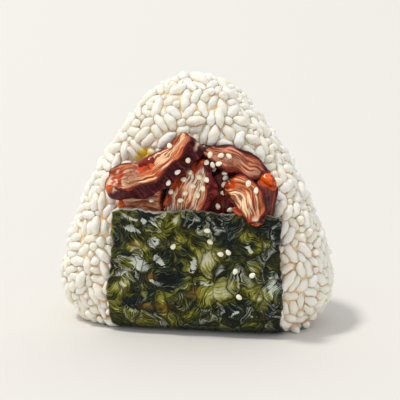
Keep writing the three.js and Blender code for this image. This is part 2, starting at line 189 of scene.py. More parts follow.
FOOT_LEVEL = CORNER_ARC[1] - CORNER_RADIUS - MIDDLE_Z
ARCS = (
    (CORNER_ARC, math.atan2(FOOT_LEVEL, CORNER_X)),
    (SIDE_ARC, handover(*CORNER_ARC)),
    (TOP_ARC, handover(*TOP_ARC)),
)


def reach(dx, dz):
    """Distance from the middle to the front outline, towards unit directions."""
    angle = np.arctan2(dz, np.abs(dx))
    distance = FOOT_LEVEL / np.minimum(dz, -1e-9)
    for (x, z, radius), begins in ARCS:
        towards = np.abs(dx) * x + dz * (z - MIDDLE_Z)
        inside = np.maximum(towards**2 - x**2 - (z - MIDDLE_Z) ** 2 + radius**2, 0)
        distance = np.where(angle >= begins, towards + np.sqrt(inside), distance)
    return distance


def pillow(points, dent):
    """Under 1 inside the pressed form and over 1 outside. dent is the share of the front's hollow."""
    x, y, z = points.T
    above = np.maximum(z - FOOT_Z, 0)
    height = np.where(above > FOOT_EASE, z, FOOT_Z + 2 * np.sqrt(FOOT_EASE * above) - FOOT_EASE)
    dz = height - MIDDLE_Z
    away = np.maximum(np.hypot(x, dz), 1e-6)
    across = ease(np.abs(x - HOLLOW["x"]) / HOLLOW["half_width"], 0.5, 1)
    up = ease(np.abs(z - HOLLOW["z"]) / HOLLOW["half_height"], 0.4, 1)
    pressed = np.where(y < 0, y - dent * HOLLOW["depth"] * (1 - across) * (1 - up), y)
    fullness = RIM_FULLNESS + FOOT_FULLNESS * ease(-dz / away, 0.55, 0.95)
    form = (away / reach(x / away, dz / away)) ** fullness
    form = form + np.abs(pressed / (RICE_DEPTH / 2)) ** FRONT_FULLNESS
    return np.where(z < FOOT_Z, 2, form)


def leave(start, direction, dent):
    """Where rays from inside leave the form, and the outward normals there."""
    near = np.zeros(len(direction))
    far = np.full(len(direction), float(RICE_HEIGHT))
    for _ in range(34):
        middle = (near + far) / 2
        inside = pillow(start + direction * middle[:, None], dent) < 1
        near = np.where(inside, middle, near)
        far = np.where(inside, far, middle)
    points = start + direction * near[:, None]
    slope = [pillow(points + axis, dent) - pillow(points - axis, dent) for axis in 0.05 * np.eye(3)]
    normals = unit(np.stack(slope, axis=1))
    normals[points[:, 2] < FOOT_Z + 0.02] = (0, 0, -1)
    return points, normals


def ball(levels):
    """Unit directions and triangles of a finely divided icosahedron."""
    shape = bmesh.new()
    bmesh.ops.create_icosphere(shape, subdivisions=levels, radius=1)
    directions = np.array([v.co for v in shape.verts])
    faces = np.array([[v.index for v in f.verts] for f in shape.faces])
    shape.free()
    return unit(directions), faces


class DepthMap:
    """Distances to a surface on a grid over the food, negative inside, read smoothly in between."""

    LOW = np.array([-50.0, -36.0, -5.0])
    SHAPE = (68, 42, 62)
    STEP = 1.5

    def __init__(self, tree, inside=None):
        axes = [self.LOW[k] + self.STEP * np.arange(self.SHAPE[k]) for k in range(3)]
        points = np.stack(np.meshgrid(*axes, indexing="ij"), axis=-1).reshape(-1, 3)
        distance = np.empty(len(points))
        for i, point in enumerate(points):
            at, normal, _, away = tree.find_nearest(point)
            within = (Vector(point) - at).dot(normal) < 0
            distance[i] = -away if within else away
        if inside is not None:
            distance = np.where(inside(points), -np.abs(distance), np.abs(distance))
        distance = distance.reshape(self.SHAPE)
        slopes = np.gradient(distance, self.STEP)
        self.fields = np.stack([distance, *slopes], axis=-1)

    def read(self, points):
        at = (points - self.LOW) / self.STEP
        cell = np.clip(at.astype(int), 0, np.array(self.SHAPE) - 2)
        part = np.clip(at - cell, 0, 1)
        total = 0
        for corner in np.ndindex(2, 2, 2):
            weight = np.prod(np.where(np.array(corner) == 1, part, 1 - part), axis=1)
            i, j, k = (cell + corner).T
            total = total + self.fields[i, j, k] * weight[:, None]
        slope = total[:, 1:]
        return total[:, 0], slope / np.maximum(np.linalg.norm(slope, axis=1), 1e-6)[:, None]


def surface_tree(points, faces):
    return BVHTree.FromPolygons(points.tolist(), faces.tolist())


def tree_of_nodes(names):
    """A search tree of CAD nodes, in millimetres."""
    points, faces = [], []
    for name in names:
        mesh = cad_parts[name].data
        shift = len(points)
        points += [v.co / MM for v in mesh.vertices]
        faces += [[shift + i for i in p.vertices] for p in mesh.polygons]
    return BVHTree.FromPolygons(points, faces)


MEAT_NODES = [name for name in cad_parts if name.startswith("meat_")]
form_directions, form_faces = ball(6)
form_points, form_normals = leave(np.array([0, 0, MIDDLE_Z]), form_directions, 1)
form_depth = DepthMap(surface_tree(form_points, form_faces), lambda points: pillow(points, 1) < 1)
topping_distance = DepthMap(tree_of_nodes(["nori_strip", *MEAT_NODES]))
meat_distance = DepthMap(tree_of_nodes(MEAT_NODES))
nori_distance = DepthMap(tree_of_nodes(["nori_strip"]))

GRAIN_COUNT = 1800
GRAIN_RADIUS = 1.42  # of the three balls that stand for a grain while it settles
GRAIN_REACH = 1.6  # from a grain's middle to the centre of its end
GRAIN_HALF_LONG = (3.22, 0.36, 2.4, 4.1)  # usual, spread, least and most
GRAIN_HALF_WIDE = (1.66, 0.13, 1.35, 1.95)
GRAIN_TAPER = (-0.1, 0.22)  # least and most share of its width that a grain loses at its ends
GRAIN_THICKNESS = (0.86, 1.0)  # as a share of its width
GRAIN_BEND = (0.0, 0.5)
GRAIN_NEAREST = 15  # itself and the neighbours that press it flat
GRAIN_BOX = ((-46, -23, 1), (46, 23, 81))  # loose grains start in here
GRAIN_UNDER_NORI = 6  # how far in from the strip's edges grains are needed
PACK_TURNS = 90
PACK_HIGH, PACK_LOW = -1.4, -4.5  # places of a grain's middle, from the form's surface
PACK_SUNK = (-0.5, 0.6)  # how much deeper than the surface a grain lies
PACK_PUSH = 0.32  # share of an overlap that each ball gives way in one turn
PACK_RISE = 0.035  # steady drift outwards that closes gaps
PACK_STEP = 0.6  # longest move of a ball in one turn
NORI_MIDDLE_X = 3.4
NORI_HALF = 26
NORI_TOP = 40


def under_nori(points):
    """How far points lie inside the strip's edges, negative beside it."""
    side = NORI_HALF - np.abs(points[:, 0] - NORI_MIDDLE_X)
    return np.minimum(side, NORI_TOP - 2 - points[:, 2])


def scatter_grains(random):
    """Middles and axes of loose grains in a shell under the form."""
    middles = np.empty((0, 3))
    while len(middles) < GRAIN_COUNT:
        tries = random.uniform(*GRAIN_BOX, (20000, 3))
        depth, _ = form_depth.read(tries)
        clear, _ = topping_distance.read(tries)
        good = (depth < PACK_HIGH) & (depth > PACK_LOW)
        good = good & (clear > 1) & (under_nori(tries) < GRAIN_UNDER_NORI)
        middles = np.concatenate([middles, tries[good]])
    middles = middles[:GRAIN_COUNT]
    _, out = form_depth.read(middles)
    axes = unit(random.normal(size=(GRAIN_COUNT, 3)))
    axes -= 0.65 * np.sum(axes * out, axis=1)[:, None] * out
    return middles, unit(axes)


def search_tree(spots):
    tree = KDTree(len(spots))
    for i, spot in enumerate(spots):
        tree.insert(spot, i)
    tree.balance()
    return tree


def close_pairs(spots):
    tree = search_tree(spots)
    pairs = [
        (i, j)
        for i, spot in enumerate(spots)
        for _, j, _ in tree.find_range(spot, 2 * GRAIN_RADIUS + 0.7)
        if j // 3 > i // 3
    ]
    return np.array(pairs)


def settle_grains(middles, axes, random):
    """Presses the grains together: each is three balls that push off their neighbours."""
    ends = np.array([-GRAIN_REACH, 0, GRAIN_REACH])
    sunk = np.repeat(random.uniform(*PACK_SUNK, len(middles)), 3)
    for turn in range(PACK_TURNS):
        spots = (middles[:, None] + axes[:, None] * ends[:, None]).reshape(-1, 3)
        if turn % 6 == 0:
            first, second = close_pairs(spots).T
        gap = spots[first] - spots[second]
        apart = np.maximum(np.linalg.norm(gap, axis=1), 1e-6)
        push = np.maximum(2 * GRAIN_RADIUS - apart, 0)[:, None] * gap / apart[:, None] * PACK_PUSH
        move = np.zeros_like(spots)
        np.add.at(move, first, push)
        np.add.at(move, second, -push)
        depth, out = form_depth.read(spots)
        move -= out * np.maximum(depth + GRAIN_RADIUS + sunk, 0)[:, None]
        move += out * np.maximum(PACK_LOW - depth, 0)[:, None] * 0.5
        clear, away = topping_distance.read(spots)
        move += away * np.maximum(GRAIN_RADIUS * 0.96 - clear, 0)[:, None] * 0.8
        move += out * (PACK_RISE if turn < PACK_TURNS * 0.7 else 0)
        length = np.maximum(np.linalg.norm(move, axis=1), 1e-6)[:, None]
        move *= np.minimum(length, PACK_STEP) / length
        spots = (spots + move).reshape(-1, 3, 3)
        middles = spots.mean(axis=1)
        axes = unit(spots[:, 2] - spots[:, 0])
    return middles, axes


def grain_form(rings, sides):
    """A plump unit grain along X, with one blunter end and the dent that its germ left."""
    points = [(-1, 0, 0)]
    for i in range(1, rings):
        angle = math.pi * i / rings
        along = -math.copysign(abs(math.cos(angle)) ** 0.96, math.cos(angle))
        wide = math.sin(angle) * (1 + 0.07 * along)
        for j in range(sides):
            turn = 2 * math.pi * j / sides
            germ = 1 - 0.3 * ease(along, 0.35, 0.85) * max(math.cos(turn), 0) ** 3
            points.append((along, wide * germ * math.cos(turn), wide * germ * math.sin(turn)))
    points.append((1, 0, 0))
    faces = []
    for j in range(sides):
        after = (j + 1) % sides
        faces.append((0, 1 + after, 1 + j))
        last = 1 + (rings - 2) * sides
        faces.append((len(points) - 1, last + j, last + after))
        for i in range(rings - 2):
            a = 1 + i * sides
            faces.append((a + j, a + after, a + sides + after))
            faces.append((a + j, a + sides + after, a + sides + j))
    return np.array(points), np.array(faces)


def rows(values):
    return values[:, None, :]


def varied(random, count, usual, spread, least, most):
    return np.clip(random.normal(usual, spread, count), least, most)


def grain_meshes(middles, axes, random):
    """Points of every grain, pressed flat where neighbours touch, and how near each point lies to a
    neighbour, for painted shade.
    """
    shape, faces = grain_form(14, 12)
    count = len(middles)
    side = unit(np.cross(axes, random.normal(size=axes.shape)))
    up = np.cross(axes, side)
    long = varied(random, count, *GRAIN_HALF_LONG)
    wide = varied(random, count, *GRAIN_HALF_WIDE)
    taper = random.uniform(*GRAIN_TAPER, count)
    thick = wide * random.uniform(*GRAIN_THICKNESS, count)
    bend = random.uniform(*GRAIN_BEND, count)
    flip = np.where(random.random(count) < 0.5, -1, 1)
    x, y, z = shape.T
    local_x = np.outer(long * flip, x)
    slim = 1 - np.outer(taper, np.abs(x) ** 1.5 * (1 + 0.6 * x))
    phase = random.uniform(0, 6.3, (2, count, 1))
    local_y = np.outer(wide, y) * slim + np.outer(bend, 0.35 - x**2) + 0.12 * np.sin(1.9 * local_x + phase[0])
    local_z = np.outer(thick, z) * slim + 0.1 * np.sin(2.3 * local_x + phase[1])
    points = (
        rows(middles)
        + local_x[..., None] * rows(axes)
        + local_y[..., None] * rows(side)
        + local_z[..., None] * rows(up)
    )
    tree = search_tree(middles)
    near = np.array([[j for _, j, _ in tree.find_n(m, GRAIN_NEAREST)][1:] for m in middles])
    held = np.zeros(points.shape[:2])
    for k in range(near.shape[1]):
        other = near[:, k]
        span = long[other] - wide[other]
        offset = points - rows(middles[other])
        along = np.clip(np.sum(offset * rows(axes[other]), axis=2), -span[:, None], span[:, None])
        gap_line = offset - along[..., None] * rows(axes[other])
        apart = np.maximum(np.linalg.norm(gap_line, axis=2), 1e-6)
        gap = apart - 0.97 * wide[other][:, None]
        push = np.maximum(-gap, 0) * 0.5
        points = points + gap_line / apart[..., None] * push[..., None]
        # Closeness to the nearest neighbour, which the rice finish paints as tan shade in the crevices.
        held = np.maximum(held, np.exp(-np.maximum(gap, 0) / 0.3))
    return points, faces, held


def rest_on_foot(points):
    """Lowers the bottom grains beside the nori to the table, and flattens what would go through."""
    near_table, table_gap = 2, 0.03
    lowest = points[:, :, 2].min(axis=1)
    beside = under_nori(points.mean(axis=1)) < -1
    points[..., 2] -= np.where(beside & (lowest < near_table), lowest - 0.02, 0)[:, None]
    points[..., 2] = np.maximum(points[..., 2], np.where(beside, table_gap, FOOT_Z + 0.02)[:, None])
    return points


def new_piece(name, points, faces, material, node, slot=None, **attributes):
    """A piece of the food from points in millimetres, which stands for a CAD node."""
    mesh = bpy.data.meshes.new(name)
    mesh.vertices.add(len(points))
    mesh.vertices.foreach_set("co", (np.asarray(points) * MM).astype(np.float32).ravel())
    mesh.loops.add(faces.size)
    mesh.loops.foreach_set("vertex_index", faces.astype(np.int32).ravel())
    mesh.polygons.add(len(faces))
    corners = faces.shape[1]
    mesh.polygons.foreach_set("loop_start", np.arange(0, faces.size, corners, dtype=np.int32))
    mesh.update(calc_edges=True)
    mesh.shade_smooth()
    for key, values in attributes.items():
        flat = np.ndim(values) == 1
        layer = mesh.attributes.new(key, "FLOAT" if flat else "FLOAT_VECTOR", "POINT")
        layer.data.foreach_set("value" if flat else "vector", np.asarray(values, np.float32).ravel())
    mesh.materials.append(material)
    piece = bpy.data.objects.new(name, mesh)
    bpy.context.collection.objects.link(piece)
    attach(piece, "root")
    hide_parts(node)


def srgb(red, green, blue):
    """A colour as a painter names it, from 0 to 255."""
    parts = [c / 255 for c in (red, green, blue)]
    return (*[c / 12.92 if c <= 0.04045 else ((c + 0.055) / 1.055) ** 2.4 for c in parts], 1)


class Wire:
    """One output in a material's nodes. Arithmetic on it adds Math nodes."""

    def __init__(self, socket):
        self.socket = socket

    def node(self, kind, settings, sockets, output=0):
        """Adds a node: its settings first, then the values or wires of its sockets."""
        tree = self.socket.id_data
        made = tree.nodes.new(kind)
        for key, value in settings.items():
            if key == "stops":
                ramp = made.color_ramp.elements
                while len(ramp) < len(value):
                    ramp.new(0.5)
                for element, (place, colour) in zip(ramp, value):
                    element.position = place
                    element.color = colour
            else:
                setattr(made, key, value)
        for key, value in sockets.items():
            if isinstance(value, Wire):
                tree.links.new(value.socket, made.inputs[key])
            elif value is not None:
                made.inputs[key].default_value = value
        return Wire(made.outputs[output])

    def math(self, operation, *values):
        return self.node("ShaderNodeMath", {"operation": operation}, dict(enumerate(values)))

    def __add__(self, other):
        return self.math("ADD", self, other)

    def __sub__(self, other):
        return self.math("SUBTRACT", self, other)

    def __rsub__(self, other):
        return self.math("SUBTRACT", other, self)

    def __mul__(self, other):
        return self.math("MULTIPLY", self, other)

    def __truediv__(self, other):
        return self.math("DIVIDE", self, other)

    __radd__ = __add__
    __rmul__ = __mul__

    def rise(self, low, high):
        """Goes smoothly from 0 at low to 1 at high."""
        settings = {"interpolation_type": "SMOOTHSTEP"}
        return self.node("ShaderNodeMapRange", settings, {"Value": self, 1: low, 2: high})

    def larger(self, other):
        return self.math("MAXIMUM", self, other)

    def between(self, colour, other):
        """A colour, or another where this wire is 1."""
        settings = {"data_type": "RGBA", "clamp_factor": True}
        return self.node("ShaderNodeMix", settings, {0: self, 6: colour, 7: other}, 2)

    def stretch(self, x, y, z):
        """A place or direction with each part multiplied."""
        settings = {"operation": "MULTIPLY"}
        return self.node("ShaderNodeVectorMath", settings, {0: self, 1: (x, y, z)})

    def shifted(self, amount):
        """A place moved by another place or by a number on all its parts."""
        return self.node("ShaderNodeVectorMath", {"operation": "ADD"}, {0: self, 1: amount})

    def cloud(self, size, detail=3, distortion=0, roughness=0.5):
        """Soft noise with lumps of about this size, from 0 to 1."""
        sockets = {
            "Vector": self,
            "Scale": 1 / size,
            "Detail": detail,
            "Roughness": roughness,
            "Distortion": distortion,
        }
        return self.node("ShaderNodeTexNoise", {}, sockets)

    def attribute(self, name, output="Fac"):
        return self.node("ShaderNodeAttribute", {"attribute_name": name}, {}, output)

    def attributes(self, *names):
        return [self.attribute(name) for name in names]

    def bump(self, strength, depth):
        """A normal from this wire as a height, depth in metres."""
        return self.node("ShaderNodeBump", {}, {"Strength": strength, "Distance": depth, "Height": self})


def new_finish(name):
    """A material, its shader, and a wire of the place on the food in millimetres."""
    material = bpy.data.materials.new(name)
    material.use_nodes = True
    shader = material.node_tree.nodes["Principled BSDF"]
    place = material.node_tree.nodes.new("ShaderNodeTexCoord")
    return material, shader, Wire(place.outputs["Object"]).stretch(1 / MM, 1 / MM, 1 / MM)


def connect(shader, **wires):
    for key, wire in wires.items():
        shader.id_data.links.new(wire.socket, shader.inputs[key.replace("_", " ")])


def settle(shader, **values):
    for key, value in values.items():
        shader.inputs[key.replace("_", " ")].default_value = value


def rice_finish():
    material, shader, place = new_finish("cooked_rice")
    tint, held, deep, stain, warm = place.attributes("tint", "held", "deep", "stain", "warm")
    own = place.shifted(tint * 40)
    belly = own.cloud(2.6, 2)
    colour = tint.between(srgb(246, 243, 231), srgb(241, 233, 214))
    colour = (belly.rise(0.35, 0.7) * 0.5).between(colour, srgb(248, 246, 240))
    # Painted shade: tan where grains nearly touch, where the crevices between them lie in shade.
    colour = (held.rise(0.4, 1) * 0.5).between(colour, srgb(236, 208, 168))
    # Painted shade: peach on points deep under the form's surface, where the gaps lie in shade.
    colour = (deep.rise(0.15, 1) * 0.7).between(colour, srgb(246, 204, 148))
    # Painted shade: orange-tan on low grains close to the nori's edges, in the shade beside the strip.
    painted_shade_beside_nori = warm * (held.rise(0.2, 0.9) * 0.6 + deep.rise(0, 0.5) * 0.5 + 0.12)
    colour = painted_shade_beside_nori.between(colour, srgb(232, 158, 96))
    stained = (stain * (0.6 + own.cloud(2.2, 3) * 0.8)).rise(0.2, 0.7)
    colour = (stained * 0.95).between(colour, srgb(255, 214, 48))
    height = own.cloud(0.9, 3) + own.stretch(0.3, 1, 1).cloud(0.4, 2) * 0.4
    rough = own.cloud(1.4, 2) * 0.16 + 0.36
    connect(shader, Base_Color=colour, Roughness=rough, Normal=height.bump(0.35, 0.0004))
    settle(shader, Subsurface_Weight=0.7, Subsurface_Scale=0.002, Coat_Weight=0.15)
    settle(shader, Subsurface_Radius=(1.0, 0.78, 0.55), Coat_Roughness=0.2)
    return material


def core_finish():
    material, shader, place = new_finish("rice_in_shade")
    colour = place.cloud(3, 4).rise(0.35, 0.65).between(srgb(255, 228, 184), srgb(250, 206, 150))
    height = place.cloud(1.6, 4)
    connect(shader, Base_Color=colour, Normal=height.bump(0.8, 0.0012))
    settle(shader, Roughness=0.6)
    return material


CORE_DEPTH = 1.65  # of the plain body that shows between the grains
STAIN_AT, STAIN_RADIUS = np.array([-12.9, -20, 54.7]), 3.3
GRAINS_PER_PIECE = 620


def make_rice():
    random = np.random.default_rng(5)
    lumps = np.array([noise.noise(Vector(p) * 0.5) for p in form_points])
    core_points = form_points - form_normals * (CORE_DEPTH + 0.5 * lumps)[:, None]
    new_piece("rice_core", core_points, form_faces, core_finish(), "rice_ball")

    middles, axes = settle_grains(*scatter_grains(random), random)
    points, faces, held = grain_meshes(middles, axes, random)
    points = rest_on_foot(points)
    flat = points.reshape(-1, 3)
    depth, _ = form_depth.read(flat)
    beside, _ = meat_distance.read(flat)
    from_stain = np.linalg.norm((flat - STAIN_AT) * (1, 0.3, 1), axis=1) / STAIN_RADIUS
    spill = 1.25 * np.exp(-(from_stain**2))
    # How far a point lies under the form's surface, which the finish paints peach as shade in the gaps.
    deep = ease(-depth, 1.4, 4.6)
    stain = np.clip(spill + 0.35 * np.exp(-np.maximum(beside, 0) / 1.2), 0, 1)
    tint = np.repeat(random.random(len(points)), points.shape[1])
    near, _ = nori_distance.read(flat)
    # Painted shade beside the nori's low edges: strongest near the strip and below its top.
    warm = np.exp(-np.maximum(near, 0) / 2.2) * ease(flat[:, 2], 38, 26)
    finish = rice_finish()
    for number, start in enumerate(range(0, len(points), GRAINS_PER_PIECE)):
        block = points[start : start + GRAINS_PER_PIECE]
        size = block.shape[1]
        every = slice(start * size, start * size + len(block) * size)
        together = (faces[None] + (np.arange(len(block)) * size)[:, None, None]).reshape(-1, 3)
        new_piece(
            f"rice_grains_{number + 1}", block.reshape(-1, 3), together, finish, "rice_ball",
            held=held.ravel()[every], deep=deep[every], stain=stain[every],
            tint=tint[every], warm=warm[every],
        )


make_rice()

# ---- Nori -----------------------------------------------------------------------------------------
# A strip cut from a sheet of dried and roasted seaweed. It runs up the front, under the rice and up the
# back, clings where the damp rice softens it, and stands off at the top to hold the filling.

NORI_BACK_TOP = 38
NORI_AXIS_Z = 20  # height of the line that the sheet is wrapped around
NORI_THICK = 0.36
NORI_OPENS = 2.6  # how far the front's top stands off to hold the filling
NORI_ACROSS, NORI_ALONG = 120, 290  # faces across and along the sheet


def sheet_distance(x, z, front):
    """How far the sheet stands off the rice."""
    u = (x - NORI_MIDDLE_X) / NORI_HALF
    ripple = (
        0.35 * np.sin(0.42 * x + 0.3 * z)
        + 0.3 * np.sin(0.55 * z - 0.23 * x + 1.3)
        + 0.22 * np.sin(0.7 * x - 0.5 * z + 2.1)
    )
    top = np.where(front, NORI_TOP, NORI_BACK_TOP)
    opened = ease(z, top - 15, top) * (1 - 0.85 * u**4)
    curl = 0.35 * np.sin(0.5 * x + np.where(front, 0.4, 2.2)) * opened
    return 0.1 + np.where(front, NORI_OPENS, 0.3) * opened + curl + ease(z, 3, 12) * (0.5 + 0.7 * ripple)


def sheet_places():
    """Places and outward directions of the sheet's grid, and its own flat coordinates."""
    v, u = np.meshgrid(np.linspace(0, 1, NORI_ALONG + 1), np.linspace(-1, 1, NORI_ACROSS + 1), indexing="ij")
    u, v = u.ravel(), v.ravel()
    torn = np.array([noise.noise(Vector((3 * a, 50 * b, 4.2))) for a, b in zip(np.sign(u), v)])
    edge = 0.35 * np.sin(14 * v) + 0.25 * np.sin(31 * v + 1) + 0.7 * torn
    low = ease(v, 0, 0.3) * (1 - ease(v, 0.4, 0.6))
    edge += np.where(u < 0, 2.8 * low - 0.8, 1.4 * low - 1.0) * np.abs(u)
    x = NORI_MIDDLE_X + u * (NORI_HALF + edge)
    ragged = np.array([noise.noise(Vector((0.7 * a, 7.7, 0))) for a in x])
    top = 0.4 * np.sin(0.33 * x + 0.5) + 0.15 * np.sin(0.9 * x) + 0.5 * ragged
    starts = np.arctan2(NORI_TOP + top - NORI_AXIS_Z, -RICE_DEPTH / 2)
    ends = np.arctan2(NORI_BACK_TOP + top - NORI_AXIS_Z, RICE_DEPTH / 2) + 2 * math.pi
    angle = starts + (ends - starts) * v
    start = np.stack([x, 0 * x, 0 * x + NORI_AXIS_Z], axis=1)
    direction = np.stack([0 * x, np.cos(angle), np.sin(angle)], axis=1)
    points, normals = leave(start, direction, 0)
    off = sheet_distance(x, points[:, 2], points[:, 1] < 0)
    points = points + normals * off[:, None]
    grid = points.reshape(NORI_ALONG + 1, NORI_ACROSS + 1, 3)
    steps = np.linalg.norm(np.diff(grid[:, NORI_ACROSS // 2], axis=0), axis=1)
    down = np.repeat(np.concatenate([[0], np.cumsum(steps)]), NORI_ACROSS + 1)
    return points, normals, np.stack([x, down, 0 * x], axis=1)


def crinkles(flat, free):
    """Height of the fine wrinkles and folds at the sheet's flat coordinates."""
    height = np.empty(len(flat))
    for i, (x, down, _) in enumerate(flat):
        warp = 2.5 * noise.noise(Vector((x / 11, down / 11, 3)))
        coarse = noise.noise(Vector(((x + warp) / 6.5, (down - warp) / 8, 0)))
        fine = noise.noise(Vector(((x - warp) / 2.3, (down + warp) / 3.1, 9)))
        grit = noise.noise(Vector((x / 0.9, down / 1.1, 5)))
        height[i] = 0.55 * (0.35 - abs(coarse)) + 0.3 * (0.3 - abs(fine)) + 0.07 * grit
    fold = (flat[:, 0] - 8) * 0.72 - (flat[:, 1] - 5) * 0.69
    inside = ease(flat[:, 1], 1, 6) * (1 - ease(flat[:, 1], 15, 22)) * (1 - ease(np.abs(fold), 1, 9))
    height += 0.4 * ease(fold, -0.5, 0.5) * inside
    return height * (0.35 + 0.65 * free)


RAGGED_SHIFTS = [Vector((31.4, 0, 0)), Vector((0, 17.6, 0)), Vector((0, 0, 53.2))]
RAGGED_SIZE, RAGGED_REACH = 2.1, 0.9
# Each patch is x, z, half length, half width, turn in degrees.
PATCHES = {
    "olive": [
        (-1.8, 36.9, 1.6, 1.6, 0), (19, 32.7, 3.4, 1.8, 10), (-14.2, 28.2, 3.4, 2.4, 0),
        (-12.7, 14.6, 3, 1.6, -60), (7.9, 26.4, 5, 4.2, 60), (11.5, 15.5, 6.4, 3.8, 35),
        (22, 15.5, 4.8, 2.8, -45), (24, 30, 3, 2, 0), (-1, 30, 4, 2, 20), (-20, 15, 3, 2.4, 0),
    ],
    # The pale patches are painted highlights: pale grey-green streaks where the wrinkles would catch the
    # light.
    "pale": [
        (-16.6, 36.9, 3.9, 0.9, -15), (-15.7, 33.9, 3.8, 1.2, -12), (-11.8, 36.5, 1.6, 1.2, 20),
        (-8.6, 35.7, 2.2, 0.6, -65), (19.9, 28.9, 2.2, 0.8, -45), (-9, 29.7, 2.4, 1.8, 30),
        (-13.6, 22.8, 3.6, 2.8, -30), (-7.3, 23.7, 2.8, 1.1, -35), (-19, 19.8, 2.8, 1.2, 10),
        (-9.1, 17.3, 3, 0.7, -15), (10.9, 21.6, 1.8, 1.3, 45), (3.3, 23, 2.8, 1.2, 75),
        (5.7, 17.3, 3.2, 0.7, 5), (27.2, 17.9, 4.8, 1.7, 82), (15.7, 8.3, 2.2, 0.6, 40),
        (-1.6, 36.9, 1.2, 1.0, 0),
    ],
    "dark": [
        (-11.2, 37.5, 4, 2, -25), (3.9, 36.6, 3.4, 2.4, 0), (11.5, 33, 6.4, 1.6, -47),
        (13.4, 35.6, 4, 2, -20), (25.4, 35.7, 4.4, 2.2, 0), (-4.2, 17.6, 5, 3.2, 0),
        (26.9, 9.5, 3.6, 1.8, 90), (13.6, 9, 4.8, 1.4, 0), (-17, 25.6, 3, 1, 0),
        (16.5, 21, 4.6, 1, 60), (-20.5, 31, 1.5, 4, 0), (-16, 10.5, 4, 1.6, 0),
    ],
    "gold": [
        (-6, 9.5, 3.4, 1.4, 0), (-12, 9.5, 2.2, 1.2, 0), (-10, 18.6, 2, 1.1, 0),
        (3.3, 14.3, 1.8, 2.2, 0), (-15, 29, 2.4, 1, 0),
    ],
}


def dabs(points, places):
    """How strongly each point is touched by ragged dabs at (x, z, half length, half width, turn)."""
    touch = np.zeros(len(points))
    ragged = [[noise.noise(Vector(p) / RAGGED_SIZE + shift) for shift in RAGGED_SHIFTS] for p in points]
    points = points + RAGGED_REACH * np.array(ragged)
    for x, z, long, wide, turn in places:
        dx, dz = points[:, 0] - x, points[:, 2] - z
        c, s = math.cos(math.radians(turn)), math.sin(math.radians(turn))
        away = np.hypot((dx * c + dz * s) / long, (dz * c - dx * s) / wide)
        touch = np.maximum(touch, 1 - ease(away, 0.35, 1.25))
    return touch


def nori_finish():
    """Overlapping flakes of seaweed, each with its own tone and its own way of lying."""
    material, shader, place = new_finish("roasted_nori")
    flat = place.attribute("flat", "Vector")
    crest, rim, foot = place.attributes("crest", "rim", "foot")
    olive, pale, dark, gold = place.attributes(*PATCHES)
    drift = flat.node("ShaderNodeTexNoise", {}, {"Vector": flat, "Scale": 0.12, "Detail": 2}, 1)
    swirl = flat.shifted(drift.stretch(10, 10, 0))
    whirl = swirl.node("ShaderNodeTexNoise", {}, {"Vector": swirl, "Scale": 0.4, "Detail": 3}, 1)
    curled = swirl.shifted(whirl.stretch(2.4, 2.4, 0))
    cells = {"Vector": curled.stretch(1, 0.72, 1), "Scale": 0.2}
    flake = curled.node("ShaderNodeTexVoronoi", {"feature": "SMOOTH_F1"}, {**cells, "Smoothness": 0.35}, 1)
    border = curled.node("ShaderNodeTexVoronoi", {"feature": "DISTANCE_TO_EDGE"}, cells) / 0.2
    tone_of, lie_of, shine_of = (
        flake.node("ShaderNodeSeparateXYZ", {}, {"Vector": flake}, k) for k in range(3)
    )
    spun = flat.node(
        "ShaderNodeVectorRotate", {"rotation_type": "Z_AXIS"}, {"Vector": curled, "Angle": lie_of * 3}
    )
    strokes = spun.stretch(1, 0.11, 1).cloud(0.34, 2)
    broad = spun.stretch(1, 0.3, 1).cloud(1.1, 3, 0.6)
    patch = swirl.cloud(7, 3)
    # crest adds a little painted highlight on the wrinkle crests.
    tone = tone_of * 0.24 + patch * 0.7 + broad * 0.6 + (strokes - 0.5) * 1.2 + crest * 0.08
    tone = tone + olive * 0.3 - dark * 0.4 - 0.42
    colour = tone.node("ShaderNodeValToRGB", {"stops": [
        (0.12, srgb(7, 11, 9)),
        (0.30, srgb(28, 34, 18)),
        (0.44, srgb(70, 72, 22)),
        (0.58, srgb(122, 120, 24)),
        (0.72, srgb(160, 156, 66)),
        (0.90, srgb(212, 210, 170)),
    ]}, {"Fac": tone})
    cool = dark.larger(patch.rise(0.5, 0.4)) * strokes.rise(0.5, 0.66) * 0.6
    colour = cool.between(colour, srgb(92, 112, 100))
    amber = gold * broad.rise(0.35, 0.6)
    colour = (amber * 0.75).between(colour, srgb(156, 108, 20))
    # Painted highlights: pale grey-green streaks in the pale patches, and glints along some flake edges,
    # where the wrinkles would catch the light.
    highlight_streaks = pale * 0.55 + (strokes - 0.5) * 1.3 + (broad - 0.5) * 0.6
    glint = border.rise(0.1, 0.4) * border.rise(1.2, 0.5) * shine_of.rise(0.6, 0.7)
    glint = glint * strokes.rise(0.45, 0.6) * 0.7
    colour = (highlight_streaks.rise(0.26, 0.5) * pale.rise(0, 0.3)).larger(glint).between(colour, srgb(206, 212, 196))
    colour = (border.rise(0.26, 0.04) * 0.65).between(colour, srgb(7, 10, 10))
    colour = (foot * 0.6).between(colour, srgb(34, 42, 28))
    # Painted highlight: the sheet's cut edges near-white as if catching the lamp, brightest at the left
    # towards the lamp.
    west = place.node("ShaderNodeSeparateXYZ", {}, {"Vector": place}).rise(0, -9)
    colour = (rim * (0.25 + 0.75 * west)).between(colour, srgb(255, 250, 246))
    rough = 0.4 + patch * 0.3
    height = strokes * 0.8 + broad + border.rise(0, 0.6) * 0.6
    connect(shader, Base_Color=colour, Roughness=rough, Normal=height.bump(0.8, 0.0006))
    settle(shader, Specular_IOR_Level=0.12, Coat_Weight=0.06, Coat_Roughness=0.12)
    return material


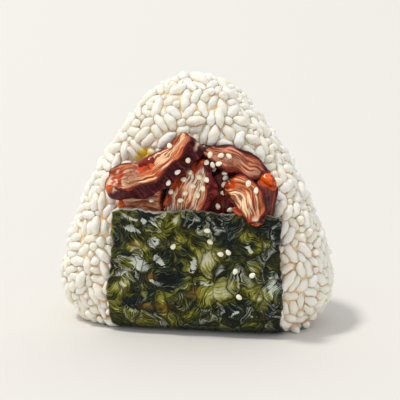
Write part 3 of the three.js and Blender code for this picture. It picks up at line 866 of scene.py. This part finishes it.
def grid_faces(lines, row):
    """Four-sided faces of a grid of lines, each with row points."""
    j, i = np.meshgrid(np.arange(lines - 1), np.arange(row - 1), indexing="ij")
    a = (j * row + i).ravel()
    return np.stack([a, a + 1, a + row + 1, a + row], axis=1)


def border_pairs(count, row):
    """Neighbours along the border of a grid of count points in rows."""
    border = [
        *range(row - 1),
        *range(row - 1, count - 1, row),
        *range(count - 1, count - row, -1),
        *range(count - row, 0, -row),
    ]
    return zip(border, border[1:] + border[:1])


def make_nori():
    points, normals, flat = sheet_places()
    free = ease(points[:, 2], 1.5, 9)
    height = crinkles(flat, free)
    crest = ease(height, -0.1, 0.3)
    lowest = points[:, 2] < 0.62
    height = np.where(lowest, 0, height)
    inner = points + normals * (height[:, None] * 0.8)
    outer = inner + normals * NORI_THICK
    outer[:, 2] = np.maximum(outer[:, 2], 0)
    row = NORI_ACROSS + 1
    count = len(points)
    face = grid_faces(NORI_ALONG + 1, row)
    rim_faces = [(p, q, q + count, p + count) for p, q in border_pairs(count, row)]
    faces = np.concatenate([face[:, ::-1], face + count, rim_faces])
    u = np.abs(np.tile(np.linspace(-1, 1, row), NORI_ALONG + 1))
    # The sheet's top and side edges, which the finish paints near-white as a highlight.
    edge = np.maximum(1 - ease(flat[:, 1], 0.2, 0.6), 0.25 * ease(u, 0.985, 1))
    edge = np.maximum(edge, 1 - ease(flat[:, 1].max() - flat[:, 1], 0, 0.5))
    foot = 1 - ease(points[:, 2], 2.2, 4.5)
    facing = points[:, 1] < 0
    new_piece(
        "nori_sheet", np.concatenate([inner, outer]), faces, nori_finish(), "nori_strip",
        flat=np.concatenate([flat, flat + (0, 0, 3)]), crest=np.tile(crest, 2), rim=np.tile(edge, 2),
        foot=np.tile(foot, 2),
        **{key: np.tile(dabs(points, places) * facing, 2) for key, places in PATCHES.items()},
    )
    return outer, face


nori_front = make_nori()
nori_tree = surface_tree(*nori_front)

# ---- Meat slices ----------------------------------------------------------------------------------
# Slabs cut across the fibres of a braised and seared roast, glazed with a sweet red sauce and tucked
# one over another into the pocket.

PINK, CREAM = srgb(212, 124, 72), srgb(255, 218, 170)
MAROON, RED_GLAZE = srgb(58, 10, 14), srgb(206, 64, 2)
# path, width, thick and face, the way that the cut side looks, go from one end of a slab to the other.
# look is lean, fat, seared and glaze, how strong the streaks are and how mottled the cut side is. hot and
# brown are dabs of glaze and crust, and the pale dabs are cream painted highlights: x, z, half length, half
# width, turn in degrees.
MARKS = ("hot", "pale", "brown")
SLICES = {
    "meat_slab_left": {
        "path": [
            (-22.8, -22.4, 47.4), (-16.5, -23.7, 48.3), (-9.8, -24.7, 50),
            (-3.2, -24.8, 54.2), (4, -23.4, 60.9),
        ],
        "width": [8.4, 10, 9.6, 8.8, 8],
        "thick": [5.4, 6.4, 6.2, 5.8, 6],
        "face": [(-0.2, -0.7, 0.7), (-0.36, -0.78, 0.52), (-0.76, -0.58, 0.36)],
        "look": (PINK, CREAM, srgb(62, 17, 22), RED_GLAZE, 0.8, 0.1),
        "hot": [
            (-22.5, 48, 3, 4, 0), (-10.5, 53.5, 3, 4, -60), (-18.5, 49, 1.2, 4, 0), (-5, 52, 3, 1, 35),
        ],
        "pale": [
            (-19.4, 51.3, 0.8, 0.4, 60), (-21.8, 48.4, 0.8, 1.8, 0), (-20, 46, 1.0, 0.6, 50),
            (4.9, 60, 1.9, 0.45, 72),
        ],
        "brown": [(-14.6, 50, 3.4, 3.4, 0)],
    },
    "meat_slice_right_front": {
        "path": [(13.6, -22.6, 46.8), (18, -25.2, 46.8), (21.4, -27, 43), (22.2, -27.8, 37)],
        "width": [4.6, 8.6, 9.6, 4.4],
        "thick": [4.4, 5, 4.8, 3.8],
        "face": [(-0.25, -0.85, 0.45), (-0.1, -0.9, 0.35), (-0.2, -0.97, 0.05)],
        "look": (PINK, CREAM, MAROON, RED_GLAZE, 0.9, 0.0),
        "hot": [(21.8, 37, 3, 2.6, 0), (16.5, 42.2, 3.4, 1.2, -40), (14.4, 48.6, 3, 2, 20)],
        "pale": [(22.8, 38.6, 0.8, 1.6, 10)],
    },
    "meat_wedge_centre": {
        "path": [(-1.6, -18, 33.5), (0.2, -19.4, 40), (3, -21.2, 46.5), (6.4, -20.6, 54.4)],
        "width": [13, 13.6, 13.2, 4.6],
        "thick": [4.2, 5.4, 6.2, 4.4],
        "face": [(-0.04, -0.97, 0.2), (-0.16, -0.95, 0.26), (-0.36, -0.88, 0.3)],
        "look": (srgb(255, 180, 128), srgb(255, 240, 214), srgb(132, 48, 52), RED_GLAZE, 1.2, 0.0),
        "hot": [(-5.8, 42, 5, 2, 62), (-1.4, 48.8, 5, 2, 56), (4.5, 54, 4.6, 2.6, 60)],
        "pale": [(-6, 41, 0.5, 2.6, -10)],
    },
    "meat_slice_right_upper": {
        "path": [
            (4, -18.4, 57.2), (9, -19.6, 56.2), (14.8, -20.2, 54.7), (20, -19.6, 52.2), (24.6, -18.4, 49.6),
        ],
        "width": [4.2, 6, 8.2, 7.4, 4],
        "thick": [4, 5, 5.4, 5, 3.8],
        "face": [(0, -0.9, 0.4), (0.15, -0.9, 0.35)],
        "look": (srgb(222, 142, 104), srgb(244, 196, 164), MAROON, srgb(140, 32, 16), 0.3, 0.45),
        "hot": [(13, 52.5, 2.4, 1.2, -30), (24, 50, 2, 3, 0)],
        "brown": [(14, 55, 4, 2.4, -20)],
    },
    "meat_chunk_right_back": {
        "path": [(22.8, -18.4, 49.2), (24.2, -19.4, 46), (23.8, -18.8, 41), (22.6, -17.3, 35.5)],
        "width": [5.4, 6.8, 6.6, 5.6],
        "thick": [5, 6, 5, 3.4],
        "face": [(0.3, -0.94, 0.2), (0.2, -0.97, 0.1)],
        "look": (srgb(128, 62, 56), srgb(170, 96, 78), srgb(84, 30, 40), srgb(226, 84, 14), 0.2, 0.3),
        "hot": [(25, 49.4, 3.6, 2.6, 0)],
    },
    "meat_chunk_left_low": {
        "path": [(-20, -18.6, 40.6), (-14.5, -18.9, 41.2), (-6.6, -18.4, 41.4)],
        "width": [8, 10.4, 10.6],
        "thick": [4.8, 5.4, 5],
        "face": [(-0.1, -0.97, 0.2), (0.1, -0.97, 0.2)],
        "look": (srgb(236, 160, 112), srgb(255, 214, 174), srgb(44, 20, 26), srgb(226, 96, 20), 0.7, 0.6),
        "hot": [(-20, 40.5, 2, 4, 0)],
        "pale": [(-19, 40.4, 0.5, 1.5, 0)],
    },
    "meat_chunk_centre_low": {
        "path": [(10, -18.2, 34.5), (11.4, -18.8, 40), (12.6, -18.6, 46.5), (10.6, -18, 51.4)],
        "width": [12, 13, 10, 6],
        "thick": [4.4, 5.4, 5, 4],
        "face": [(0, -0.97, 0.2), (0, -0.95, 0.3)],
        "look": (srgb(56, 22, 26), srgb(84, 36, 38), srgb(30, 12, 20), srgb(120, 24, 14), 0.2, 0.2),
        "hot": [(10, 38, 5, 1.6, 0)],
    },
}
EDGE_ROUND = 0.85
END_ROUND = 0.95
RINGS = 84  # along a slab, between its rounded ends


def smooth_line(knots, count):
    """Evenly spaced points along a centripetal Catmull-Rom line through the knots."""
    knots = np.array(knots, float)
    knots = np.concatenate([[2 * knots[0] - knots[1]], knots, [2 * knots[-1] - knots[-2]]])
    dense = []
    for a, b, c, d in zip(knots, knots[1:], knots[2:], knots[3:]):
        ab, bc, cd = (math.sqrt(np.linalg.norm(q - p)) for p, q in ((a, b), (b, c), (c, d)))
        leaves = ((b - a) / ab - (c - a) / (ab + bc) + (c - b) / bc) * bc
        arrives = ((c - b) / bc - (d - b) / (bc + cd) + (d - c) / cd) * bc
        for t in np.linspace(0, 1, 80, endpoint=False):
            dense.append(
                b + leaves * t + (3 * (c - b) - 2 * leaves - arrives) * t**2
                + (2 * (b - c) + leaves + arrives) * t**3
            )
    dense = np.array([*dense, knots[-2]])
    length = np.concatenate([[0], np.cumsum(np.linalg.norm(np.diff(dense, axis=0), axis=1))])
    even = np.linspace(0, length[-1], count)
    return np.stack([np.interp(even, length, dense[:, k]) for k in range(3)], axis=1), length[-1]


def along(values, t):
    """Reads a list of values as if it were a smooth line over 0 to 1."""
    values = np.array(values, float)
    at = np.clip(t, 0, 1) * (len(values) - 1)
    i = np.minimum(at.astype(int), len(values) - 2)
    part = ease(at - i, 0, 1)
    if values.ndim == 2:
        part = part[:, None]
    return values[i] + (values[i + 1] - values[i]) * part


def slab_section():
    """Rounded rectangle as rows of (wide share, round share) across and up."""
    corners = [(1, 1), (-1, 1), (-1, -1), (1, -1)]
    spans = [20, 11, 20, 11]
    rows_made = []
    for k, (sx, sy) in enumerate(corners):
        arc = [math.pi / 2 * (k + step / 6) for step in range(7)]
        rows_made += [(sx, math.cos(a), sy, math.sin(a)) for a in arc]
        nx, ny = corners[(k + 1) % 4]
        for step in range(1, spans[k]):
            t = step / spans[k]
            rows_made.append((
                sx + (nx - sx) * t, math.cos(arc[-1]), sy + (ny - sy) * t, math.sin(arc[-1])
            ))
    return np.array(rows_made)


def slab_points(path, width, thick, face):
    """Rings of a slab from end to end, with each point's own across, along and up in millimetres."""
    centres, length = smooth_line(path, RINGS * 4)
    share = np.linspace(0, 1, len(centres))
    tangents = np.gradient(centres, axis=0)
    turns = [(1 - math.sin(a), 1 - math.cos(a)) for a in np.linspace(0, math.pi / 2, 6)]
    end = END_ROUND / length
    stations = [(0.0, 1.0, s) for s in (0.02, 0.25, 0.5, 0.75, 0.92)]
    stations += [(end * step, inset, 1.0) for step, inset in reversed(turns)]
    stations += [(t, 0.0, 1.0) for t in np.linspace(end, 1 - end, RINGS)[1:-1]]
    stations += [(1 - end * step, inset, 1.0) for step, inset in turns]
    stations += [(1.0, 1.0, s) for s in (0.92, 0.75, 0.5, 0.25, 0.02)]
    t, inset, shrink = np.array(stations).T
    centre = np.stack([np.interp(t, share, centres[:, k]) for k in range(3)], axis=1)
    tangent = np.stack([np.interp(t, share, tangents[:, k]) for k in range(3)], axis=1)
    tangent = unit(tangent)
    out = along(face, t)
    out = unit(out - np.sum(out * tangent, axis=1)[:, None] * tangent)
    side = np.cross(tangent, out)
    wide_share, wide_round, up_share, up_round = slab_section().T
    half_wide = along(width, t) / 2 - inset * END_ROUND
    half_thick = along(thick, t) / 2 - inset * END_ROUND
    soft = EDGE_ROUND * np.ones_like(t)
    across = np.outer((half_wide - soft) * shrink, wide_share) + np.outer(soft * shrink, wide_round)
    up = np.outer((half_thick - soft) * shrink, up_share) + np.outer(soft * shrink, up_round)
    points = centre[:, None] + across[..., None] * rows(side) + up[..., None] * rows(out)
    own = np.stack([across, np.outer(t * length, np.ones(len(wide_share))), up], axis=2)
    cut = np.outer(np.where(shrink < 1, 0, 1 - inset), ease(up_round, 0.35, 0.9))
    to_edge = (along(width, t) / 2)[:, None] - np.abs(across)
    ends = np.minimum(t, 1 - t) * length
    rim = 1 - ease(np.minimum(to_edge, ends[:, None]), 0.3, 2.4)
    return points, own, cut, rim


def tube_faces(ring_count, sides):
    j, i = np.meshgrid(np.arange(ring_count - 1), np.arange(sides), indexing="ij")
    a, b = (j * sides + i).ravel(), (j * sides + (i + 1) % sides).ravel()
    return np.stack([a, b, b + sides, a + sides], axis=1)


def slab_normals(points, faces):
    corners = points[faces]
    flat = np.cross(corners[:, 2] - corners[:, 0], corners[:, 3] - corners[:, 1])
    normals = np.zeros_like(points)
    for k in range(4):
        np.add.at(normals, faces[:, k], flat)
    return normals / np.maximum(np.linalg.norm(normals, axis=1), 1e-9)[:, None]


def carve(points, normals, own, cut, number):
    """Raises fibres on the cut side, lumps on the seared sides, and tears along the edges."""
    height = np.empty(len(points))
    for i, (x, y, z) in enumerate(own):
        bend = 0.9 * noise.noise(Vector((x / 5, y / 6, number)))
        fibre = noise.noise(Vector(((x + bend) / 0.95, y / 6.5, number * 3.1 + 0.1 * z)))
        crease = noise.noise(Vector(((x + 2 * bend) / 2.6, y / 9, number * 7.7)))
        lump = noise.noise(Vector((x / 3.2, y / 3.2, z / 3.2 + number * 11)))
        seared = noise.noise(Vector((y / 1.1, z / 4, x / 4 + number)))
        on_cut = 0.17 * fibre - 0.42 * math.exp(-((crease / 0.07) ** 2))
        height[i] = 0.42 * lump + cut[i] * on_cut + (1 - cut[i]) * 0.16 * seared
    x, y, z = points.T
    shift = np.stack([
        0.3 * np.sin(0.9 * y + 0.7 * z),
        0.35 * np.sin(0.8 * x - 0.6 * z + 1),
        0.35 * np.sin(0.75 * x + 0.8 * y + 2),
    ], axis=1)
    return points + shift + normals * height[:, None]


def tuck(points, hangs_over):
    """Keeps a slab behind the nori below its top edge, or in front where the slab hangs over it."""
    for i, (x, y, z) in enumerate(points):
        for drop in (0, 0.8, 1.6, 2.4):
            hit = nori_tree.ray_cast(Vector((x, -60, z - drop)), Vector((0, 1, 0)))[0]
            if hit is None or hit.y > 0:
                continue
            if not hangs_over:
                points[i, 1] = max(y, hit.y + NORI_THICK + 0.3 - 1.3 * drop)
            elif drop == 0:
                points[i, 1] = min(y, hit.y - 0.1)
            break
    return points


def meat_finish(name, lean, fat, seared, glaze, streaks, mottled):
    """streaks is how strongly pale fat runs along the fibres, mottled how much brown covers them."""
    material, shader, place = new_finish(name)
    own = place.attribute("own", "Vector")
    cut, rim, hot, pale, brown = place.attributes("cut", "rim", *MARKS)
    drift = own.node("ShaderNodeTexNoise", {}, {"Vector": own, "Scale": 0.2, "Detail": 1}, 1)
    line = own.shifted(drift.stretch(2.4, 0, 0)).stretch(1, 0.085, 0.3)
    fine = line.cloud(0.5, 2)
    broad = line.cloud(1.3, 2)
    patch = place.cloud(3.2, 3, 0.5)
    colour = patch.rise(0.4, 0.68).between(lean, (*[0.5 * c for c in lean[:3]], 1))
    colour = (broad.rise(0.47, 0.56) * streaks).between(colour, fat)
    colour = (fine.rise(0.51, 0.42) * 0.85).between(colour, srgb(124, 42, 22))
    colour = (fine.rise(0.60, 0.68) * streaks * 0.6).between(colour, srgb(252, 232, 208))
    brushed = own.stretch(1, 0.5, 1).cloud(1.1, 3, 1.5)
    browned = (patch.rise(0.5, 0.72) * mottled).larger(brown)
    browns = brushed.rise(0.35, 0.65).between(srgb(116, 66, 46), srgb(190, 132, 102))
    colour = (browned * 0.85).between(colour, browns)
    crust_and_lit_patches = own.stretch(0.6, 1, 0.25).cloud(0.9, 3)
    # Painted light: lit is the seared colour made lighter as if it caught the light, laid in patches on the
    # seared sides.
    lit = (*[min(3.6 * c, 1) for c in seared[:3]], 1)
    side = crust_and_lit_patches.rise(0.4, 0.8).between(seared, lit)
    ribs_and_sheen = own.stretch(0.3, 1, 0.12).cloud(0.7, 2)
    side = (ribs_and_sheen.rise(0.5, 0.4) * 0.6).between(side, srgb(24, 8, 12))
    # Painted sheen: thin pinkish highlights across the seared sides, beside the dark ribs.
    side = (ribs_and_sheen.rise(0.56, 0.68) * 0.45).between(side, srgb(150, 76, 78))
    colour = (cut * (0.7 + 0.6 * patch)).rise(0.35, 0.75).between(side, colour)
    sauced = (rim * cut * place.cloud(4.5, 2) * 1.9).larger(hot * (0.45 + broad)).rise(0.3, 0.8)
    deep_glaze = (*[0.2 * c for c in glaze[:3]], 1)
    sauce = own.stretch(1, 0.4, 1).cloud(1.4, 3).rise(0.3, 0.6).between(deep_glaze, glaze)
    colour = (sauced * 0.92).between(colour, sauce)
    # Painted highlights: pale cream dabs where the meat would catch the light.
    colour = (pale * 0.9).between(colour, srgb(246, 208, 176))
    outline = rim.rise(0.72, 0.95) * cut.rise(0.03, 0.3) * place.cloud(2.5, 2).rise(0.25, 0.45)
    colour = (outline * 0.9).between(colour, srgb(44, 6, 10))
    rough = 0.46 - sauced * 0.22 + fine * 0.12
    height = fine * 0.6 + crust_and_lit_patches * 0.3
    gloss = 0.06 + cut * 0.06 + sauced * 0.24
    connect(shader, Base_Color=colour, Roughness=rough, Normal=height.bump(0.4, 0.0005), Coat_Weight=gloss)
    settle(shader, Specular_IOR_Level=0.08, Coat_Roughness=0.12)
    settle(shader, Subsurface_Weight=0.05, Subsurface_Scale=0.001)
    return material


def make_meat():
    slabs = {}
    for number, (name, slab) in enumerate(SLICES.items()):
        rings, own, cut, rim = slab_points(*(slab[key] for key in ("path", "width", "thick", "face")))
        faces = tube_faces(*rings.shape[:2])
        points = rings.reshape(-1, 3)
        own, cut, rim = own.reshape(-1, 3), cut.ravel(), rim.ravel()
        normals = slab_normals(points, faces)
        if np.sum(normals * (points - points.mean(axis=0))) < 0:
            normals, faces = -normals, faces[:, ::-1]
        points = carve(points, normals, own, cut, number + 1)
        if name != "meat_slab_left":
            points = tuck(points, name == "meat_slice_right_front")
        new_piece(
            name.replace("meat_", "glazed_"), points, faces, meat_finish(name, *slab["look"]), name,
            own=own + (0, 0, 20 * number), cut=cut, rim=rim,
            **{mark: dabs(points, slab.get(mark, [])) for mark in MARKS},
        )
        slabs[name] = (points, faces)
    return slabs


slabs = make_meat()

# ---- Sauce ----------------------------------------------------------------------------------------
# The braising sauce, boiled down to a dark glaze. It lies between the slabs on the rice, where its dark
# skin is also painted shade under the slabs, and stands in thick drops where it ran to their edges.


def joined(parts):
    """Several (points, faces) as one."""
    points, faces, shift = [], [], 0
    for some_points, some_faces in parts:
        points.append(some_points)
        faces.append(some_faces + shift)
        shift += len(some_points)
    return np.concatenate(points), np.concatenate(faces)


def sauce_and_shade_finish():
    material, shader, place = new_finish("sauce_and_painted_shade_in_gaps")
    # Near-black sauce, also dark as painted shade in the gaps between the slabs.
    colour = place.cloud(2.4, 3).rise(0.5, 0.75).between(srgb(26, 11, 16), srgb(96, 22, 14))
    connect(shader, Base_Color=colour, Normal=place.cloud(1.2, 3).bump(0.5, 0.0006))
    settle(shader, Roughness=0.25, Specular_IOR_Level=0.4, Coat_Weight=0.5, Coat_Roughness=0.06)
    return material


POOL_STEP = 0.5
POOL_XS, POOL_ZS = np.arange(-21, 28.01, POOL_STEP), np.arange(33, 60.01, POOL_STEP)
POOL_SKY = 13  # a slab nearer than this hides the sky
POOL_THICK, POOL_SUNK = 1.1, 4.6  # over the rice where it is hidden, and under it elsewhere
POOL_BACK = 6


def make_sauce_and_shade():
    """A skin of dark sauce, also painted shade, over the rice wherever the slabs above it hide most of the
    sky.
    """
    x, z = (g.ravel() for g in np.meshgrid(POOL_XS, POOL_ZS, indexing="ij"))
    start = np.stack([x, 0 * x, z], axis=1)
    surface, out = leave(start, np.tile((0.0, -1.0, 0.0), (len(x), 1)), 1)
    cover = surface_tree(*joined([*slabs.values(), nori_front]))
    hidden = np.ones(len(x))
    for side in range(0, 360, 90):
        looks = []
        for lean_angle, turn in ((30, 0), (55, -30), (55, 0), (55, 30)):
            lean, towards = math.radians(lean_angle), math.radians(side + turn)
            across = math.sin(lean)
            looks.append(Vector((across * math.cos(towards), -math.cos(lean), across * math.sin(towards))))
        for i, point in enumerate(surface):
            blocked = sum(cover.ray_cast(Vector(point), look, POOL_SKY)[0] is not None for look in looks)
            hidden[i] = min(hidden[i], blocked / len(looks))
    lumps = np.array([noise.noise(Vector(p) / 2.6) for p in surface])
    filled = ease(hidden, 0.15, 0.6)
    over = (POOL_THICK + 0.5 * lumps) * filled - POOL_SUNK * (1 - filled)
    front = surface + out * over[:, None]
    back = surface - out * POOL_BACK
    sheet = grid_faces(len(POOL_XS), len(POOL_ZS))[:, [0, 3, 2, 1]]
    count = len(x)
    wall = [(q, p, p + count, q + count) for p, q in border_pairs(count, len(POOL_ZS))]
    faces = np.concatenate([sheet, sheet[:, ::-1] + count, wall])
    points = np.concatenate([front, back])
    new_piece("sauce_and_painted_shade_pool", points, faces, sauce_and_shade_finish(), "rice_ball", "meat_chunk_centre_low")
    return points, faces


sauce_and_shade_skin = make_sauce_and_shade()
top_tree = surface_tree(*joined([*slabs.values(), sauce_and_shade_skin]))


def front_of_food(x, z):
    """The first surface met from the front at (x, z), and the way it looks."""
    ahead = Vector((0, 1, 0))
    start = Vector((x, -RICE_DEPTH, z))
    hits = [tree.ray_cast(start, ahead) for tree in (top_tree, nori_tree)]
    point, normal, _, _ = min((hit for hit in hits if hit[0]), key=lambda hit: hit[3])
    return np.array(point), np.array(normal if normal.y < 0 else -normal)


def lay(shape, point, normal, turn):
    """Points of a shape that lies along X, turned and laid on a surface that looks along normal."""
    lie = Vector(normal).to_track_quat("Z", "Y").to_matrix()
    spin = np.array([
        [math.cos(turn), -math.sin(turn), 0],
        [math.sin(turn), math.cos(turn), 0],
        [0, 0, 1],
    ])
    return shape @ spin.T @ np.array(lie).T + point


DROPS = [
    # x, z, half length, half width, height, turn in degrees, how clear
    (-10.6, 54.6, 3.2, 1.5, 1.5, 20, 0.1),
    (-8.4, 53.2, 1.8, 1.0, 0.9, -40, 0.5),
    (-21.4, 46.8, 1.2, 0.9, 0.6, 0, 0.4),
    (15.4, 39.8, 1.1, 0.9, 1.0, 0, 1),
    (22, 36.9, 1.8, 1.2, 0.9, 0, 0.8),
    (17.4, 40.9, 1.8, 0.8, 0.8, -40, 0.5),
    (25.2, 48.8, 2.9, 2.3, 1.6, -30, 0.8),
    (5.4, 54.2, 1.6, 0.8, 0.7, 60, 0.5),
    (-19.6, 40.6, 1.2, 1.8, 1.0, 0, 1),
    (-5.6, 42, 0.7, 2.0, 0.7, -20, 0.6),
]


def drop_finish():
    material, shader, place = new_finish("thick_sauce")
    clear = place.attribute("clear")
    deep = (place.cloud(2.2, 2) - clear * 0.3 + 0.15).rise(0.35, 0.6)
    colour = deep.between(srgb(236, 100, 6), srgb(128, 22, 4))
    connect(shader, Base_Color=colour, Normal=place.cloud(1.5, 2).bump(0.3, 0.0004))
    settle(shader, Roughness=0.3, Specular_IOR_Level=0.08, Coat_Weight=0.6, Coat_Roughness=0.12)
    settle(shader, Subsurface_Weight=0.3, Subsurface_Scale=0.0015)
    return material


DROP_UNEVEN = 0.22
DROP_SUNK = 0.25  # share of its height that a drop's middle lies under the surface


def make_drops():
    directions, faces = ball(4)
    parts = []
    for x, z, long, wide, high, turn, _ in DROPS:
        uneven = np.array([noise.noise(Vector(d) * 1.3 + Vector((x, 0, z))) for d in directions])
        shape = directions * (1 + DROP_UNEVEN * uneven)[:, None] * (long, wide, high)
        point, normal = front_of_food(x, z)
        parts.append((lay(shape, point - DROP_SUNK * high * normal, normal, math.radians(turn)), faces))
    points, faces = joined(parts)
    clear = np.repeat([drop[-1] for drop in DROPS], len(directions))
    new_piece("sauce_drops", points, faces, drop_finish(), "meat_slab_left", clear=clear)


make_drops()

# ---- Sesame seeds ---------------------------------------------------------------------------------
# White sesame, hulled and toasted, scattered over the filling and the nori and held by the sticky glaze.
# Each line is (x, z) of its first seed, (x, z) of its last, and how many lie along it.

SEED_LINES = [
    (-3.4, 59.2, -3.4, 59.2, 1),
    (2.5, 55.5, -3.5, 48.8, 3),
    (2.6, 51.4, 0.5, 49.2, 2),
    (0.8, 45.6, -0.7, 42.9, 2),
    (-3.4, 45.5, -3.4, 45.5, 1),
    (5.6, 50.2, 3.2, 47.5, 2),
    (5.3, 44.8, 5.3, 44.8, 1),
    (7.1, 47.2, 8.6, 51.8, 3),
    (7.2, 54.2, 11, 53.9, 3),
    (12.4, 51.8, 12.4, 45.4, 4),
    (8.4, 56.6, 14.2, 56.4, 3),
    (20.4, 49.2, 22.6, 47.4, 2),
    (10.8, 41.1, 14.2, 40, 2),
    (-10.1, 41.9, -10.1, 41.9, 1),
    (-3.1, 28.9, -3.1, 28.9, 1),
    (7.6, 34.1, 8.2, 30.5, 2),
    (11.6, 27, 14, 27.6, 2),
    (16.1, 21.6, 17.1, 13.6, 2),
    (21, 20.6, 21, 20.6, 1),
]
SEED_STRAY = 0.3
SEED_HALF = 0.98
SEED_RISE = 0.48
SEED_FLATNESS = 0.72


def dice(state):
    """A repeatable stream of numbers from 0 to 1."""
    while True:
        state = (state * 1664525 + 1013904223) % 2**32
        yield state / 2**32


def seed_form(rings, sides):
    """A drop-shaped seed along X, rounder at one end."""
    points = [(-SEED_HALF, 0, 0)]
    for i in range(1, rings):
        angle = math.pi * i / rings
        across = SEED_HALF * math.sin(angle) * (0.78 + 0.145 * math.cos(angle))
        for j in range(sides):
            turn = 2 * math.pi * j / sides
            y, z = across * math.cos(turn), SEED_FLATNESS * across * math.sin(turn)
            points.append((-SEED_HALF * math.cos(angle), y, z))
    points.append((SEED_HALF, 0, 0))
    _, faces = grain_form(rings, sides)
    return np.array(points), faces


def seed_finish():
    material, shader, place = new_finish("toasted_sesame")
    tint = place.attribute("tint")
    toasted = (tint * 0.7 + place.cloud(1.2, 2) * 0.5).rise(0.3, 1.0)
    colour = toasted.between(srgb(255, 251, 230), srgb(255, 244, 206))
    connect(shader, Base_Color=colour, Normal=place.cloud(0.35, 2).bump(0.3, 0.0002))
    settle(shader, Roughness=0.42, Subsurface_Weight=0.1, Subsurface_Scale=0.0008)
    return material


def make_seeds():
    roll = dice(11)
    shape, faces = seed_form(10, 14)
    parts, tints = [], []
    for from_x, from_z, to_x, to_z, count in SEED_LINES:
        for i in range(count):
            t = i / (count - 1) if count > 1 else 0
            x = from_x + (to_x - from_x) * t + SEED_STRAY * (2 * next(roll) - 1)
            z = from_z + (to_z - from_z) * t + SEED_STRAY * (2 * next(roll) - 1)
            turn = 2 * math.pi * next(roll)
            point, normal = front_of_food(x, z)
            parts.append((lay(shape, point + SEED_RISE * normal, normal, turn), faces))
            tints.append(np.full(len(shape), turn / 2 / math.pi))
    points, faces = joined(parts)
    new_piece(
        "sesame_seeds", points, faces, seed_finish(), "meat_wedge_centre", tint=np.concatenate(tints)
    )


make_seeds()
